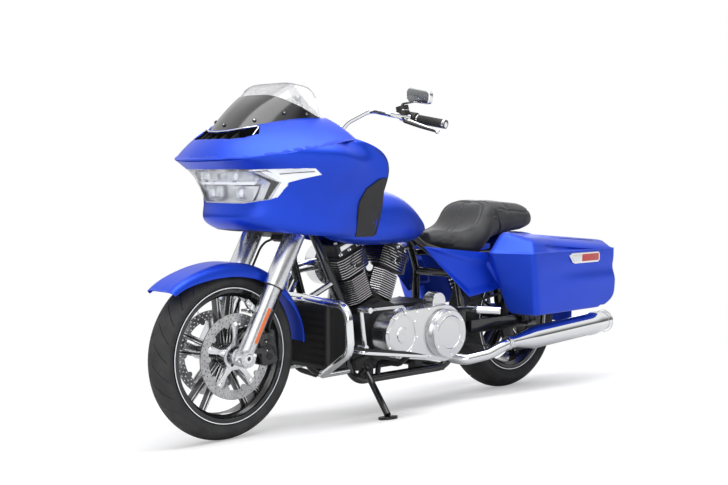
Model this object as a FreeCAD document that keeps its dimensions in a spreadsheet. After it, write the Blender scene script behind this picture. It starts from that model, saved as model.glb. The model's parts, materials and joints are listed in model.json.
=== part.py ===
import FreeCAD, Part
import math
import os
import re
import Sketcher
from FreeCAD import Placement, Rotation, Vector

# Touring cruiser motorcycle, upright frame: X forward, Y left, Z up, rear axle over x = 0,
# ground at z = 0. The finished pieces are leaned onto the side stand and moved so that the
# origin is the middle of the footprint of the whole machine, on the ground.

SIZES = {
    # Stance and steering
    "wheelbase": 1625,
    "lean_degrees": 8,
    "rake_degrees": 26,
    "fork_degrees": 29.25,
    "steering_foot": 1795,
    # Front wheel
    "front_tyre_radius": 319.3,
    "front_tyre_width": 130,
    "front_tread_drop": 38,
    "front_crown_radius": 66.4,
    "front_bead_radius": 241.3,
    "front_rim_width": 87,
    "front_flange_radius": 254,
    "front_spoke_width": 19,
    "front_spoke_depth": 30,
    # Rear wheel
    "rear_tyre_radius": 327.6,
    "rear_tyre_width": 180,
    "rear_tread_drop": 50,
    "rear_crown_radius": 97.25,
    "rear_bead_radius": 228.6,
    "rear_rim_width": 128,
    "rear_flange_radius": 241.5,
    "rear_spoke_width": 20,
    "rear_spoke_depth": 44,
    # Wheel details
    "tyre_wall": 9,
    "flange_wall": 6,
    "rim_wall": 7,
    "rim_well": 14,
    "spoke_spread": 34,
    "hub_radius": 40,
    "front_hub_half": 71,
    "rear_hub_half": 76,
    "axle_radius": 12.5,
    "axle_bore": 7,
    "running_gap": 0.05,
    "front_axle_half": 153,
    "rear_axle_half": 176,
    # Brakes
    "front_disc_radius": 160,
    "front_disc_inner": 124,
    "rear_disc_radius": 150,
    "rear_disc_inner": 116,
    "disc_thickness": 5,
    "disc_carrier": 46,
    "disc_clearance": 5,
    "caliper_length": 128,
    "caliper_height": 74,
    "caliper_width": 50,
    "caliper_turn": 171,
    "caliper_reach": 140,
    # Fork
    "fork_half_spread": 124,
    "hose_radius": 4.5,
    "hose_half": 112,
    "hose_back": 52,
    "hose_joint_back": 70,
    "slider_radius": 31.5,
    "cover_radius": 39,
    "stanchion_radius": 24.5,
    "slider_foot": 30,
    "cover_start": 285,
    "cover_end": 512,
    "stanchion_end": 700,
    "axle_lug_radius": 33,
    "yoke_thickness": 30,
    "lower_yoke_height": 792,
    "upper_yoke_height": 912,
    "stem_radius": 16,
    "neck_radius": 36,
    "neck_end_gap": 6,
    # Front fender
    "fender_radius": 346,
    "fender_half_width": 80,
    "fender_skirt": 52,
    "fender_tip_rise": 38,
    "fender_front_degrees": 42,
    "fender_rear_degrees": 176,
    "fender_wall": 3,
    # Rear fender
    "rear_fender_radius": 398,
    "rear_fender_half": 104,
    "rear_fender_skirt": 70,
    "tail_bar_radius": 10,
    "rack_nut_forward": -120,
    "rack_nut_top": 712,
    "rack_nut_length": 16,
    "rack_nut_radius": 11,
    "rack_hole_radius": 4.2,
    "strut_thickness": 8,
    "rear_fender_front_degrees": 62,
    "rear_fender_rear_degrees": 188,
    # Frame
    "tube_radius": 17,
    "backbone_radius": 30,
    "rail_half": 122,
    "rail_height": 166,
    "post_half": 138,
    "seat_rail_half": 121,
    "seat_rail_radius": 14,
    "seat_rail_height": 640,
    "pivot_forward": 500,
    "pivot_height": 335,
    "pivot_radius": 26,
    "barrel_wall": 9,
    "swingarm_half": 152,
    "arm_depth": 56,
    "arm_width": 26,
    "bobbin_forward": -28,
    "bobbin_height": 344,
    "bobbin_radius": 4.2,
    "shock_half": 184,
    "shock_radius": 21,
    # Engine
    "crank_forward": 900,
    "crank_height": 350,
    "case_radius": 124,
    "case_left": 150,
    "case_right": 112,
    "deck_height": 130,
    "vee_half_degrees": 22.5,
    "barrel_radius": 57,
    "fin_half": 73,
    "fin_thickness": 3.6,
    "fin_pitch": 9.2,
    "barrel_fins": 12,
    "head_half": 66,
    "head_start": 262,
    "head_height": 92,
    "head_fins": 8,
    "rocker_height": 60,
    "rocker_half": 62,
    "vee_gap": 3,
    "gearbox_back": 560,
    "gearbox_top": 452,
    "gearbox_bottom": 248,
    "sump_bottom": 196,
    # Left engine covers
    "primary_left": 230,
    "primary_front_radius": 95,
    "primary_rear_radius": 118,
    "clutch_forward": 650,
    "clutch_height": 331,
    "derby_radius": 98,
    "derby_left": 262,
    # Right engine cover and air cleaner
    "cam_right": 186,
    "cam_radius": 86,
    "pushrod_radius": 11,
    "cleaner_radius": 92,
    "cleaner_right": 262,
    # Final drive
    "sprocket_radius": 140,
    "sprocket_inner": 108,
    "sprocket_width": 22,
    "sprocket_offset": 19,
    "pulley_radius": 46,
    "belt_thickness": 6,
    "belt_width": 20,
    "belt_gap": 0.4,
    # Exhaust
    "header_radius": 24,
    "muffler_radius": 50,
    "muffler_start": 300,
    "muffler_end": -400,
    "muffler_half": 293,
    "muffler_start_height": 263,
    "muffler_end_height": 300,
    # Tank
    "tank_half": 152,
    "tank_top": 926,
    "tank_bottom": 700,
    "tank_tunnel": 86,
    "tank_front": 1195,
    "tank_back": 556,
    # Seat
    "soft_gap": 0.3,
    "seat_half": 172,
    "seat_back_rise": 865,
    "seat_nose": 545,
    "seat_end": -108,
    # Fairing
    "fairing_wall": 4,
    "hood_overlap": 3,
    "lamp_depth": 46,
    "dash_forward": 1345,
    "screen_wall": 4,
    "screen_top": 1333,
    "screen_top_forward": 1392,
    "screen_tuck": 4,
    "screen_overlap": 7,
    "screen_bulge": 0.07,
    "gauge_radius": 30,
    "speaker_radius": 62,
    "dial_depth": 8,
    # Saddlebags
    "bag_wall": 4,
    "bag_inner": 224,
    "bag_outer": 424,
    "bag_front": 395,
    "bag_corner": 90,
    "bag_rear": -455,
    "bag_depth": 270,
    "bag_seam": 650,
    "lid_top": 750,
    "lid_taper": 0.0096,
    "lid_slope_degrees": 4.9,
    "lid_fall_degrees": 10.7,
    "seam_gap": 0.5,
    # Bars
    "bar_radius": 12.7,
    "grip_radius": 17,
    "grip_length": 128,
    "guard_radius": 16,
    # Side stand
    "stand_forward": 1030,
    "stand_half": 150,
    "stand_height": 210,
    "stand_foot_forward": 1075,
    "stand_foot_half": 322,
    "stand_rod_radius": 13,
    "stand_foot_radius": 38,
    "stand_foot_thickness": 10,
    "stand_folded_forward": 785,
    "stand_folded_half": 165,
    "stand_folded_height": 176,
    "stand_eye_radius": 20,
    "stand_eye_half": 14,
    "stand_pin_radius": 7,
    "stand_side_gap": 1,
}

os.makedirs("parts", exist_ok=True)
doc = FreeCAD.newDocument("TouringCruiser")
sheet = doc.addObject("Spreadsheet::Sheet", "Sizes")
for row, (name, number) in enumerate(SIZES.items(), start=1):
    sheet.set(f"A{row}", name)
    sheet.set(f"B{row}", str(number))
    sheet.setAlias(f"B{row}", name)
doc.recompute()


class SheetReader:
    """Gives a driving size from the sheet by its name."""

    def __getattr__(self, name):
        return float(sheet.get(name))


size = SheetReader()
LEAN = Placement(Vector(0, 0, 0), Rotation(Vector(1, 0, 0), -size.lean_degrees))
leaned = []
pieces = {}


# Helpers for the document

def expression(text):
    """Points the words of a formula at the cells that they name."""
    return re.sub(r"[a-z_]+", lambda word: f"Sizes.{word.group()}" if word.group() in SIZES else word.group(), text)


def add_piece(label, piece, local=Placement()):
    """Registers a finished sub-part that is modelled in the upright frame."""
    piece.Label = label
    piece.Placement = LEAN * local
    leaned.append((piece, local))
    pieces[label] = piece
    return piece


def add_shape(label, shape):
    """Registers a sub-part whose shape is worked out here."""
    piece = doc.addObject("Part::Feature", label)
    piece.Shape = shape
    return add_piece(label, piece)


def trim(label, *tool_labels):
    """Cuts the seats of neighbouring sub-parts out of a leaned sub-part."""
    for tool_label in tool_labels:
        blank = pieces[label]
        blank.Label = f"{label}_before_{tool_label}"
        cut = doc.addObject("Part::Cut", f"{label}_by_{tool_label}")
        cut.Base = blank
        cut.Tool = pieces[tool_label]
        cut.Label = label
        pieces[label] = cut
    return pieces[label]


def mirrored_pair(label, piece, local=Placement()):
    """Registers a sub-part with its mirror image on the other side as one node."""
    piece.Label = f"{label}_left_half"
    piece.Placement = local
    mirror = doc.addObject("Part::Mirroring", f"{label}_mirror")
    mirror.Source = piece
    mirror.Normal = Vector(0, 1, 0)
    pair = doc.addObject("Part::Compound", f"{label}_pair")
    pair.Links = [piece, mirror]
    return add_piece(label, pair)


def body(name):
    return doc.addObject("PartDesign::Body", name)


def plane(part_body, role):
    return [feature for feature in part_body.Origin.OriginFeatures if feature.Role == role][0]


def sketch(part_body, name, role, lift=None):
    """A sketch on an origin plane, lifted along its normal by a formula."""
    drawing = part_body.newObject("Sketcher::SketchObject", name)
    drawing.AttachmentSupport = [(plane(part_body, role), "")]
    drawing.MapMode = "FlatFace"
    if lift:
        drawing.setExpression("AttachmentOffset.Base.z", expression(lift))
    return drawing


def evaluate(drawing, text):
    return float(drawing.evalExpression(expression(text)))


def fix_point(drawing, geometry, end, across, up):
    """Ties a point of the sketch to its two formulas."""
    for kind, text in (("DistanceX", across), ("DistanceY", up)):
        index = drawing.addConstraint(
            Sketcher.Constraint(kind, -1, 1, geometry, end, evaluate(drawing, text)))
        drawing.setExpression(f"Constraints[{index}]", expression(text))


def outline(drawing, points, arcs=None):
    """A closed outline: points as formulas, arcs as {side index: (radius, turn)}."""
    arcs = arcs or {}
    first = drawing.GeometryCount
    spots = [Vector(evaluate(drawing, a), evaluate(drawing, b), 0) for a, b in points]
    ends = []
    for index, start in enumerate(spots):
        finish = spots[(index + 1) % len(spots)]
        if index not in arcs:
            drawing.addGeometry(Part.LineSegment(start, finish), False)
            ends.append((1, 2))
            continue
        radius, turn = arcs[index]
        radius_now = evaluate(drawing, radius)
        chord = finish - start
        rise = math.sqrt(max(radius_now ** 2 - (chord.Length / 2) ** 2, 0))
        side = Vector(-chord.y, chord.x, 0) / chord.Length
        centre = (start + finish) / 2 + side * rise * turn
        first_angle = math.atan2(start.y - centre.y, start.x - centre.x)
        last_angle = math.atan2(finish.y - centre.y, finish.x - centre.x)
        if turn < 0:
            first_angle, last_angle = last_angle, first_angle
        circle = Part.Circle(centre, Vector(0, 0, 1), radius_now)
        drawing.addGeometry(Part.ArcOfCircle(circle, first_angle, last_angle), False)
        ends.append((1, 2) if turn > 0 else (2, 1))
    for index in range(len(points)):
        follower = (index + 1) % len(points)
        drawing.addConstraint(Sketcher.Constraint(
            "Coincident", first + index, ends[index][1], first + follower, ends[follower][0]))
    for index, (across, up) in enumerate(points):
        fix_point(drawing, first + index, ends[index][0], across, up)
    for index, (radius, turn) in arcs.items():
        tie = drawing.addConstraint(
            Sketcher.Constraint("Radius", first + index, evaluate(drawing, radius)))
        drawing.setExpression(f"Constraints[{tie}]", expression(radius))


def circle(drawing, across, up, radius):
    centre = Vector(evaluate(drawing, across), evaluate(drawing, up), 0)
    index = drawing.addGeometry(
        Part.Circle(centre, Vector(0, 0, 1), evaluate(drawing, radius)), False)
    fix_point(drawing, index, 3, across, up)
    tie = drawing.addConstraint(Sketcher.Constraint("Radius", index, evaluate(drawing, radius)))
    drawing.setExpression(f"Constraints[{tie}]", expression(radius))


def pad(part_body, drawing, length, sides="Symmetric", backwards=False, kind="Pad"):
    feature = part_body.newObject(f"PartDesign::{kind}", f"{drawing.Name}{kind}")
    feature.Profile = drawing
    feature.SideType = sides
    feature.Reversed = backwards
    feature.setExpression("Length", expression(length))
    drawing.Visibility = False
    return feature


def revolve(part_body, drawing, axis="H_Axis", kind="Revolution"):
    feature = part_body.newObject(f"PartDesign::{kind}", f"{drawing.Name}{kind}")
    feature.Profile = drawing
    feature.ReferenceAxis = (drawing, [axis])
    feature.Angle = 360
    return feature


def polar(part_body, features, drawing, count):
    pattern = part_body.newObject("PartDesign::PolarPattern", f"{features[0].Name}Ring")
    pattern.Originals = features
    pattern.Axis = (drawing, ["N_Axis"])
    pattern.Angle = 360
    pattern.Occurrences = count
    part_body.Tip = pattern
    return pattern


def row(part_body, feature, drawing, step, count):
    pattern = part_body.newObject("PartDesign::LinearPattern", f"{feature.Name}Row")
    pattern.Originals = [feature]
    pattern.Direction = (drawing, ["N_Axis"])
    pattern.setExpression("Length", expression(f"{step} * ({count} - 1)"))
    pattern.setExpression("Occurrences", expression(count))
    part_body.Tip = pattern
    return pattern


# Helpers for shapes

def unit(vector):
    return vector / vector.Length


def flipped(point):
    return Vector(point.x, -point.y, point.z)


def both_sides(shape):
    """A shape with its mirror image across the middle plane."""
    return [shape, shape.mirror(Vector(0, 0, 0), Vector(0, 1, 0))]


def joined(shapes):
    solid = shapes[0].multiFuse(shapes[1:]) if len(shapes) > 1 else shapes[0]
    return solid.removeSplitter()


def rod(start, finish, radius):
    return Part.makeCylinder(radius, (finish - start).Length, start, finish - start)


def cross_rod(x, z, low, high, radius):
    """A round bar along Y between two places."""
    return Part.makeCylinder(radius, high - low, Vector(x, low, z), Vector(0, 1, 0))


def block(low, high):
    return Part.makeBox(high.x - low.x, high.y - low.y, high.z - low.z, low)


def bent_path(points, bend):
    """Straight runs joined by tangent arcs, each as large as its runs allow."""
    edges = []
    start = points[0]
    for before, corner, after in zip(points, points[1:], points[2:]):
        back = unit(before - corner)
        on = unit(after - corner)
        half = back.getAngle(on) / 2
        room = 0.45 * min((before - corner).Length, (after - corner).Length)
        reach = min(bend / math.tan(half), room)
        radius = reach * math.tan(half)
        arc_start = corner + back * reach
        arc_end = corner + on * reach
        middle = corner + unit(back + on) * (reach / math.cos(half) - radius)
        edges.append(Part.LineSegment(start, arc_start).toShape())
        edges.append(Part.Arc(arc_start, middle, arc_end).toShape())
        start = arc_end
    edges.append(Part.LineSegment(start, points[-1]).toShape())
    return Part.Wire(edges)


def tube(points, radius, bend=60):
    """A round tube bent along its points."""
    path = bent_path(points, bend)
    section = Part.Wire(Part.makeCircle(radius, points[0], points[1] - points[0]))
    return path.makePipeShell([section], True, False)


def rounded_outline(points, radius):
    """A closed polygon with round corners."""
    corners = points + points[:2]
    edges = []
    arcs = []
    for before, corner, after in zip(corners, corners[1:], corners[2:]):
        back = unit(before - corner)
        on = unit(after - corner)
        half = back.getAngle(on) / 2
        reach = radius / math.tan(half)
        middle = corner + unit(back + on) * (reach / math.cos(half) - radius)
        arcs.append((corner + back * reach, middle, corner + on * reach))
    for index, (first, middle, last) in enumerate(arcs):
        edges.append(Part.LineSegment(arcs[index - 1][2], first).toShape())
        edges.append(Part.Arc(first, middle, last).toShape())
    return Part.Wire(edges)


def loft(sections, ruled=False):
    return Part.makeLoft(sections, True, ruled)


def skin(rows, thickness):
    """A curved panel of even thickness through rows of points on its outer face."""
    inner_rows = []
    last_row = len(rows) - 1
    for i, points in enumerate(rows):
        inner_points = []
        last_point = len(points) - 1
        for j, point in enumerate(points):
            along = rows[min(i + 1, last_row)][j] - rows[max(i - 1, 0)][j]
            across = points[min(j + 1, last_point)] - points[max(j - 1, 0)]
            inner_points.append(point + unit(along.cross(across)) * thickness)
        inner_rows.append(inner_points)
    surfaces = []
    for grid in (rows, inner_rows):
        surface = Part.BSplineSurface()
        surface.interpolate(grid)
        surfaces.append(surface)
    outer, inner = surfaces
    faces = [outer.toShape(), inner.toShape()]
    u_low, u_high, v_low, v_high = outer.bounds()
    p_low, p_high, q_low, q_high = inner.bounds()
    for u, p in ((u_low, p_low), (u_high, p_high)):
        faces.append(Part.makeRuledSurface(outer.uIso(u).toShape(), inner.uIso(p).toShape()))
    for v, q in ((v_low, q_low), (v_high, q_high)):
        faces.append(Part.makeRuledSurface(outer.vIso(v).toShape(), inner.vIso(q).toShape()))
    shell = Part.makeShell(faces)
    shell.sewShape()
    solid = Part.Solid(shell)
    if solid.Volume < 0:
        solid.reverse()
    return solid


def mirrored_loft(sections):
    """A solid lofted through half sections, joined with its mirror image."""
    half = loft(sections)
    return joined(both_sides(half))


def with_mirror_rows(rows):
    """Rows from the left end over the middle row to the right end."""
    return rows + [[flipped(point) for point in points] for points in reversed(rows[:-1])]


# Places that many pieces share

BACKBONE = [Vector(1262, 0, 815), Vector(1120, 0, 811), Vector(720, 0, 808), Vector(606, 0, 690)]

FRONT_AXLE = Vector(size.wheelbase, 0, size.front_tyre_radius)
REAR_AXLE = Vector(0, 0, size.rear_tyre_radius)
CRANK = Vector(size.crank_forward, 0, size.crank_height)
STEERING_UP = Vector(-math.sin(math.radians(size.rake_degrees)), 0, math.cos(math.radians(size.rake_degrees)))
FORK_UP = Vector(-math.sin(math.radians(size.fork_degrees)), 0, math.cos(math.radians(size.fork_degrees)))


def on_steering_axis(height):
    return Vector(size.steering_foot, 0, 0) + STEERING_UP * (height / STEERING_UP.z)


def on_fork(distance, half=0):
    return FRONT_AXLE + FORK_UP * distance + Vector(0, half, 0)


# Wheels

def make_tyre(end):
    """A hollow tyre whose beads sit on the rim between its flanges."""
    part_body = body(f"{end}_tyre_body")
    drawing = sketch(part_body, f"{end}TyreSection", "YZ_Plane")
    bead = f"{end}_rim_width / 2"
    bead_radius = f"{end}_bead_radius"
    lip = f"{end}_flange_radius + 1"
    shoulder = f"{end}_tyre_width / 2 - 5"
    shoulder_radius = f"{end}_tyre_radius - {end}_tread_drop"
    outline(drawing, [
        (f"-{bead}", bead_radius), (f"-{bead}", lip),
        (f"-({shoulder})", shoulder_radius), (shoulder, shoulder_radius),
        (bead, lip), (bead, bead_radius), (f"{bead} - tyre_wall", bead_radius),
        (f"{bead} - tyre_wall", lip), (f"{shoulder} - tyre_wall", f"{shoulder_radius} - 2"),
        (f"-({shoulder} - tyre_wall)", f"{shoulder_radius} - 2"),
        (f"-({bead} - tyre_wall)", lip), (f"-({bead} - tyre_wall)", bead_radius),
    ], {
        1: (f"{end}_tread_drop", -1), 2: (f"{end}_crown_radius", -1), 3: (f"{end}_tread_drop", -1),
        8: (f"{end}_crown_radius", 1),
    })
    revolve(part_body, drawing)
    return part_body


def make_rim(end):
    """A cast rim: barrel with flanges and well, hub, and five double spokes."""
    part_body = body(f"{end}_rim_body")
    barrel = sketch(part_body, f"{end}Barrel", "YZ_Plane")
    half = f"{end}_rim_width / 2"
    bead = f"{end}_bead_radius"
    flange = f"{end}_flange_radius"
    outline(barrel, [
        (half, flange), (f"{half} + flange_wall", flange),
        (f"{half} + flange_wall", f"{bead} - rim_wall"), (f"{half} - 6", f"{bead} - rim_wall"),
        (f"{half} - 18", f"{bead} - rim_wall - rim_well"),
        (f"-({half} - 18)", f"{bead} - rim_wall - rim_well"),
        (f"-({half} - 6)", f"{bead} - rim_wall"), (f"-({half} + flange_wall)", f"{bead} - rim_wall"),
        (f"-({half} + flange_wall)", flange), (f"-({half})", flange),
        (f"-({half})", bead), (f"-({half} - 12)", bead),
        (f"-({half} - 24)", f"{bead} - rim_well"), (f"{half} - 24", f"{bead} - rim_well"),
        (f"{half} - 12", bead), (half, bead),
    ])
    revolve(part_body, barrel)
    hub = sketch(part_body, f"{end}Hub", "XZ_Plane")
    circle(hub, "0", "0", "hub_radius")
    circle(hub, "0", "0", "axle_radius + running_gap")
    pad(part_body, hub, f"2 * {end}_hub_half")
    spokes = sketch(part_body, f"{end}Spokes", "XZ_Plane")
    reach = f"{bead} - rim_wall - rim_well / 2"
    width = f"{end}_spoke_width"
    for side in ("", "-"):
        inner = f"{side}(3)"
        outer = f"{side}(3 + {width})"
        outline(spokes, [
            (inner, "hub_radius - 6"), (outer, "hub_radius - 8"),
            (f"{side}(spoke_spread + {width} / 2)", reach), (f"{side}(spoke_spread - {width} / 4)", reach),
        ])
    spoke_pair = pad(part_body, spokes, f"{end}_spoke_depth")
    polar(part_body, [spoke_pair], spokes, 5)
    return part_body


def make_disc(name, end):
    """A brake disc: friction ring on a spidered carrier."""
    part_body = body(f"{name}_body")
    drawing = sketch(part_body, f"{end}Ring", "XZ_Plane")
    circle(drawing, "0", "0", f"{end}_disc_radius")
    circle(drawing, "0", "0", f"{end}_disc_inner")
    pad(part_body, drawing, "disc_thickness", "One side")
    carrier = sketch(part_body, f"{end}Carrier", "XZ_Plane")
    circle(carrier, "0", "0", "disc_carrier")
    circle(carrier, "0", "0", "axle_radius + 6")
    pad(part_body, carrier, "disc_thickness", "One side")
    arm = sketch(part_body, f"{end}CarrierArm", "XZ_Plane")
    outline(arm, [
        ("-14", "disc_carrier - 6"), ("14", "disc_carrier - 6"),
        ("9", f"{end}_disc_inner + 4"), ("-9", f"{end}_disc_inner + 4"),
    ])
    arm_pad = pad(part_body, arm, "disc_thickness", "One side")
    polar(part_body, [arm_pad], arm, 5)
    return part_body


def make_wheels():
    front_place = Placement(FRONT_AXLE, Rotation())
    rear_place = Placement(REAR_AXLE, Rotation())
    add_piece("front_tyre", make_tyre("front"), front_place)
    add_piece("front_rim", make_rim("front"), front_place)
    add_piece("rear_tyre", make_tyre("rear"), rear_place)
    add_piece("rear_rim", make_rim("rear"), rear_place)
    disc_shift = Vector(0, size.front_hub_half + size.disc_thickness, 0)
    mirrored_pair("front_discs", make_disc("front_disc", "front"), Placement(FRONT_AXLE + disc_shift, Rotation()))
    rear_shift = Vector(0, -size.rear_hub_half, 0)
    add_piece("rear_disc", make_disc("rear_disc", "rear"), Placement(REAR_AXLE + rear_shift, Rotation()))
    sprocket = body("rear_sprocket_body")
    ring = sketch(sprocket, "SprocketRing", "XZ_Plane")
    circle(ring, "0", "0", "sprocket_radius")
    circle(ring, "0", "0", "sprocket_inner")
    pad(sprocket, ring, "sprocket_width", "One side")
    web = sketch(sprocket, "SprocketWeb", "XZ_Plane")
    circle(web, "0", "0", "sprocket_inner + 4")
    circle(web, "0", "0", "axle_radius + 6")
    pad(sprocket, web, "sprocket_width / 2", "One side")
    boss = sketch(sprocket, "SprocketBoss", "XZ_Plane")
    circle(boss, "0", "0", "hub_radius")
    circle(boss, "0", "0", "axle_radius + 6")
    pad(sprocket, boss, "sprocket_width + sprocket_offset", "One side")
    window = sketch(sprocket, "SprocketWindow", "XZ_Plane")
    circle(window, "0", "sprocket_inner * 0.68", "sprocket_inner * 0.2")
    hole = pad(sprocket, window, "sprocket_width", "One side", True, "Pocket")
    polar(sprocket, [hole], window, 5)
    sprocket_shift = Vector(0, size.rear_hub_half + size.sprocket_offset + size.sprocket_width, 0)
    add_piece("rear_sprocket", sprocket, Placement(REAR_AXLE + sprocket_shift, Rotation()))


# Fork, yokes, front axle and brakes

def make_fork_leg(side_name, side):
    """A leg: slider with its axle lug, wide cover and stanchion, turned about its axis."""
    part_body = body(f"fork_leg_{side_name}_body")
    drawing = sketch(part_body, f"Leg{side_name}", "XZ_Plane")
    outline(drawing, [
        ("0", "-slider_foot"), ("slider_radius - 5", "-slider_foot"), ("slider_radius", "-slider_foot + 6"),
        ("slider_radius", "cover_start"), ("cover_radius - 3", "cover_start"), ("cover_radius", "cover_start + 4"),
        ("cover_radius", "cover_end"), ("stanchion_radius", "cover_end"),
        ("stanchion_radius", "stanchion_end"), ("0", "stanchion_end"),
    ])
    revolve(part_body, drawing, "V_Axis")
    lug = sketch(part_body, f"Lug{side_name}", "XZ_Plane")
    circle(lug, "0", "0", "axle_lug_radius")
    pad(part_body, lug, "2 * slider_radius - 4")
    bore = sketch(part_body, f"AxleBore{side_name}", "XZ_Plane")
    circle(bore, "0", "0", "axle_radius")
    pad(part_body, bore, "4 * slider_radius", "Symmetric", False, "Pocket")
    turn = Rotation(Vector(0, 1, 0), -size.fork_degrees)
    add_piece(f"fork_leg_{side_name}", part_body, Placement(on_fork(0, side * size.fork_half_spread), turn))


def yoke(height, reach):
    """A clamp plate square to the steering axis, out to both legs."""
    centre = on_steering_axis(height)
    back = Vector(-STEERING_UP.z, 0, STEERING_UP.x)
    legs = on_fork((height - FRONT_AXLE.z) / FORK_UP.z)
    offset = (legs - centre).dot(back)
    half = size.fork_half_spread
    corners = [
        centre + back * (offset - reach) + Vector(0, half, 0),
        centre + back * (offset + reach) + Vector(0, half, 0),
        centre + back * (offset + reach) + Vector(0, -half, 0),
        centre + back * (offset - reach) + Vector(0, -half, 0),
        centre - back * (size.neck_radius + 4) + Vector(0, -size.neck_radius, 0),
        centre - back * (size.neck_radius + 4) + Vector(0, size.neck_radius, 0),
    ]
    start = STEERING_UP * (-size.yoke_thickness / 2)
    face = Part.Face(Part.makePolygon([corner + start for corner in corners + corners[:1]]))
    plate = face.extrude(STEERING_UP * size.yoke_thickness)
    eyes = []
    for side in (1, -1):
        foot = centre + back * offset + Vector(0, side * half, 0) + start
        eyes.append(Part.makeCylinder(reach, size.yoke_thickness, foot, STEERING_UP))
    return joined([plate] + eyes)


def make_yokes():
    lower = yoke(size.lower_yoke_height, size.stanchion_radius + 11)
    upper = yoke(size.upper_yoke_height, size.stanchion_radius + 9)
    stem = rod(on_steering_axis(size.lower_yoke_height - 18), on_steering_axis(size.upper_yoke_height + 16),
               size.stem_radius)
    solid = joined([lower, upper, stem])
    for side in (1, -1):
        solid = solid.cut(rod(on_fork(size.cover_end - 60, side * size.fork_half_spread),
                              on_fork(size.stanchion_end + 60, side * size.fork_half_spread),
                              size.stanchion_radius))
        solid = solid.cut(rod(on_fork(size.cover_start, side * size.fork_half_spread),
                              on_fork(size.cover_end, side * size.fork_half_spread), size.cover_radius))
    add_shape("fork_yokes", solid)


def make_front_axle():
    bar = cross_rod(FRONT_AXLE.x, FRONT_AXLE.z, -size.front_axle_half, size.front_axle_half, size.axle_radius)
    bore = cross_rod(FRONT_AXLE.x, FRONT_AXLE.z, -size.front_axle_half - 1, size.front_axle_half + 1, size.axle_bore)
    add_shape("front_axle", bar.cut(bore))


def caliper(centre, turn_degrees, reach, inner_y, outer_y, slot_low, slot_high):
    """A caliper body astride its disc, turned about the axle."""
    length = size.caliper_length
    height = size.caliper_height
    solid = Part.makeBox(height, outer_y - inner_y, length, Vector(reach - height / 2, inner_y, -length / 2))
    solid = solid.makeFillet(12, [edge for edge in solid.Edges if abs(edge.tangentAt(edge.FirstParameter).y) > 0.9])
    slot = Part.makeBox(height, slot_high - slot_low, length + 2,
                        Vector(reach - height / 2 - 12, slot_low, -length / 2 - 1))
    solid = solid.cut(slot)
    place = Placement(centre, Rotation(Vector(0, 1, 0), -turn_degrees))
    solid.Placement = place
    return solid


def make_front_calipers():
    disc_low = size.front_hub_half
    disc_high = disc_low + size.disc_thickness
    middle = (disc_low + disc_high) / 2
    half = size.caliper_width / 2
    solid = caliper(FRONT_AXLE, size.caliper_turn, size.caliper_reach, middle - half, middle + half,
                    disc_low - size.disc_clearance, disc_high + size.disc_clearance)
    leg_half = size.fork_half_spread
    for distance in (35, 95):
        start = on_fork(distance, middle + half - 8)
        start = start + Vector(-62, 0, -12)
        arm = block(Vector(start.x - 30, middle + half - 14, start.z - 11),
                    Vector(start.x + 62, leg_half, start.z + 11))
        solid = solid.fuse(arm)
    leg = rod(on_fork(-size.slider_foot, leg_half), on_fork(size.cover_start, leg_half), size.slider_radius)
    lug = cross_rod(FRONT_AXLE.x, FRONT_AXLE.z, leg_half - size.slider_radius + 2, leg_half + size.slider_radius,
                    size.axle_lug_radius)
    solid = solid.cut(leg).cut(lug).removeSplitter()
    add_shape("front_calipers", Part.makeCompound(both_sides(solid)))


FENDER_HALF = [(0.45, 0.018), (0.84, 0.11), (0.98, 0.45), (1, 1)]
FENDER_SECTION = [(-across, drop) for across, drop in reversed(FENDER_HALF)] + [(0, 0)] + FENDER_HALF


def fender_rows(centre, radius, half_width, skirt, first, last, rise, steps):
    """Rows of points across a fender, from its front to its rear edge."""
    rows = []
    for step in range(steps + 1):
        share = step / steps
        turn = math.radians(first + (last - first) * share)
        lift = rise * max(0, 1 - share * 2.6) ** 2
        edge_rise = skirt * (0.35 + 0.65 * math.sin(math.pi * min(1, share * 1.1 + 0.05)))
        points = []
        for across, drop in FENDER_SECTION:
            distance = radius + lift - edge_rise * drop
            points.append(centre + Vector(math.cos(turn) * distance, across * half_width,
                                          math.sin(turn) * distance))
        rows.append(points)
    return rows


def make_front_fender():
    rows = fender_rows(FRONT_AXLE, size.fender_radius, size.fender_half_width, size.fender_skirt,
                       size.fender_front_degrees, size.fender_rear_degrees, size.fender_tip_rise, 7)
    solid = skin(rows, size.fender_wall)
    stays = []
    for side in (1, -1):
        for distance in (308, 330):
            point = on_fork(distance)
            low = size.fender_half_width * side * 0.97
            high = size.fork_half_spread * side
            stays.append(cross_rod(point.x + 4, point.z, min(low, high), max(low, high), 9))
    solid = solid.multiFuse(stays)
    for side in (1, -1):
        half = side * size.fork_half_spread
        solid = solid.cut(rod(on_fork(0, half), on_fork(size.cover_start, half), size.slider_radius))
        solid = solid.cut(rod(on_fork(size.cover_start, half), on_fork(size.cover_end, half), size.cover_radius))
    add_shape("front_fender", solid)


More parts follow.
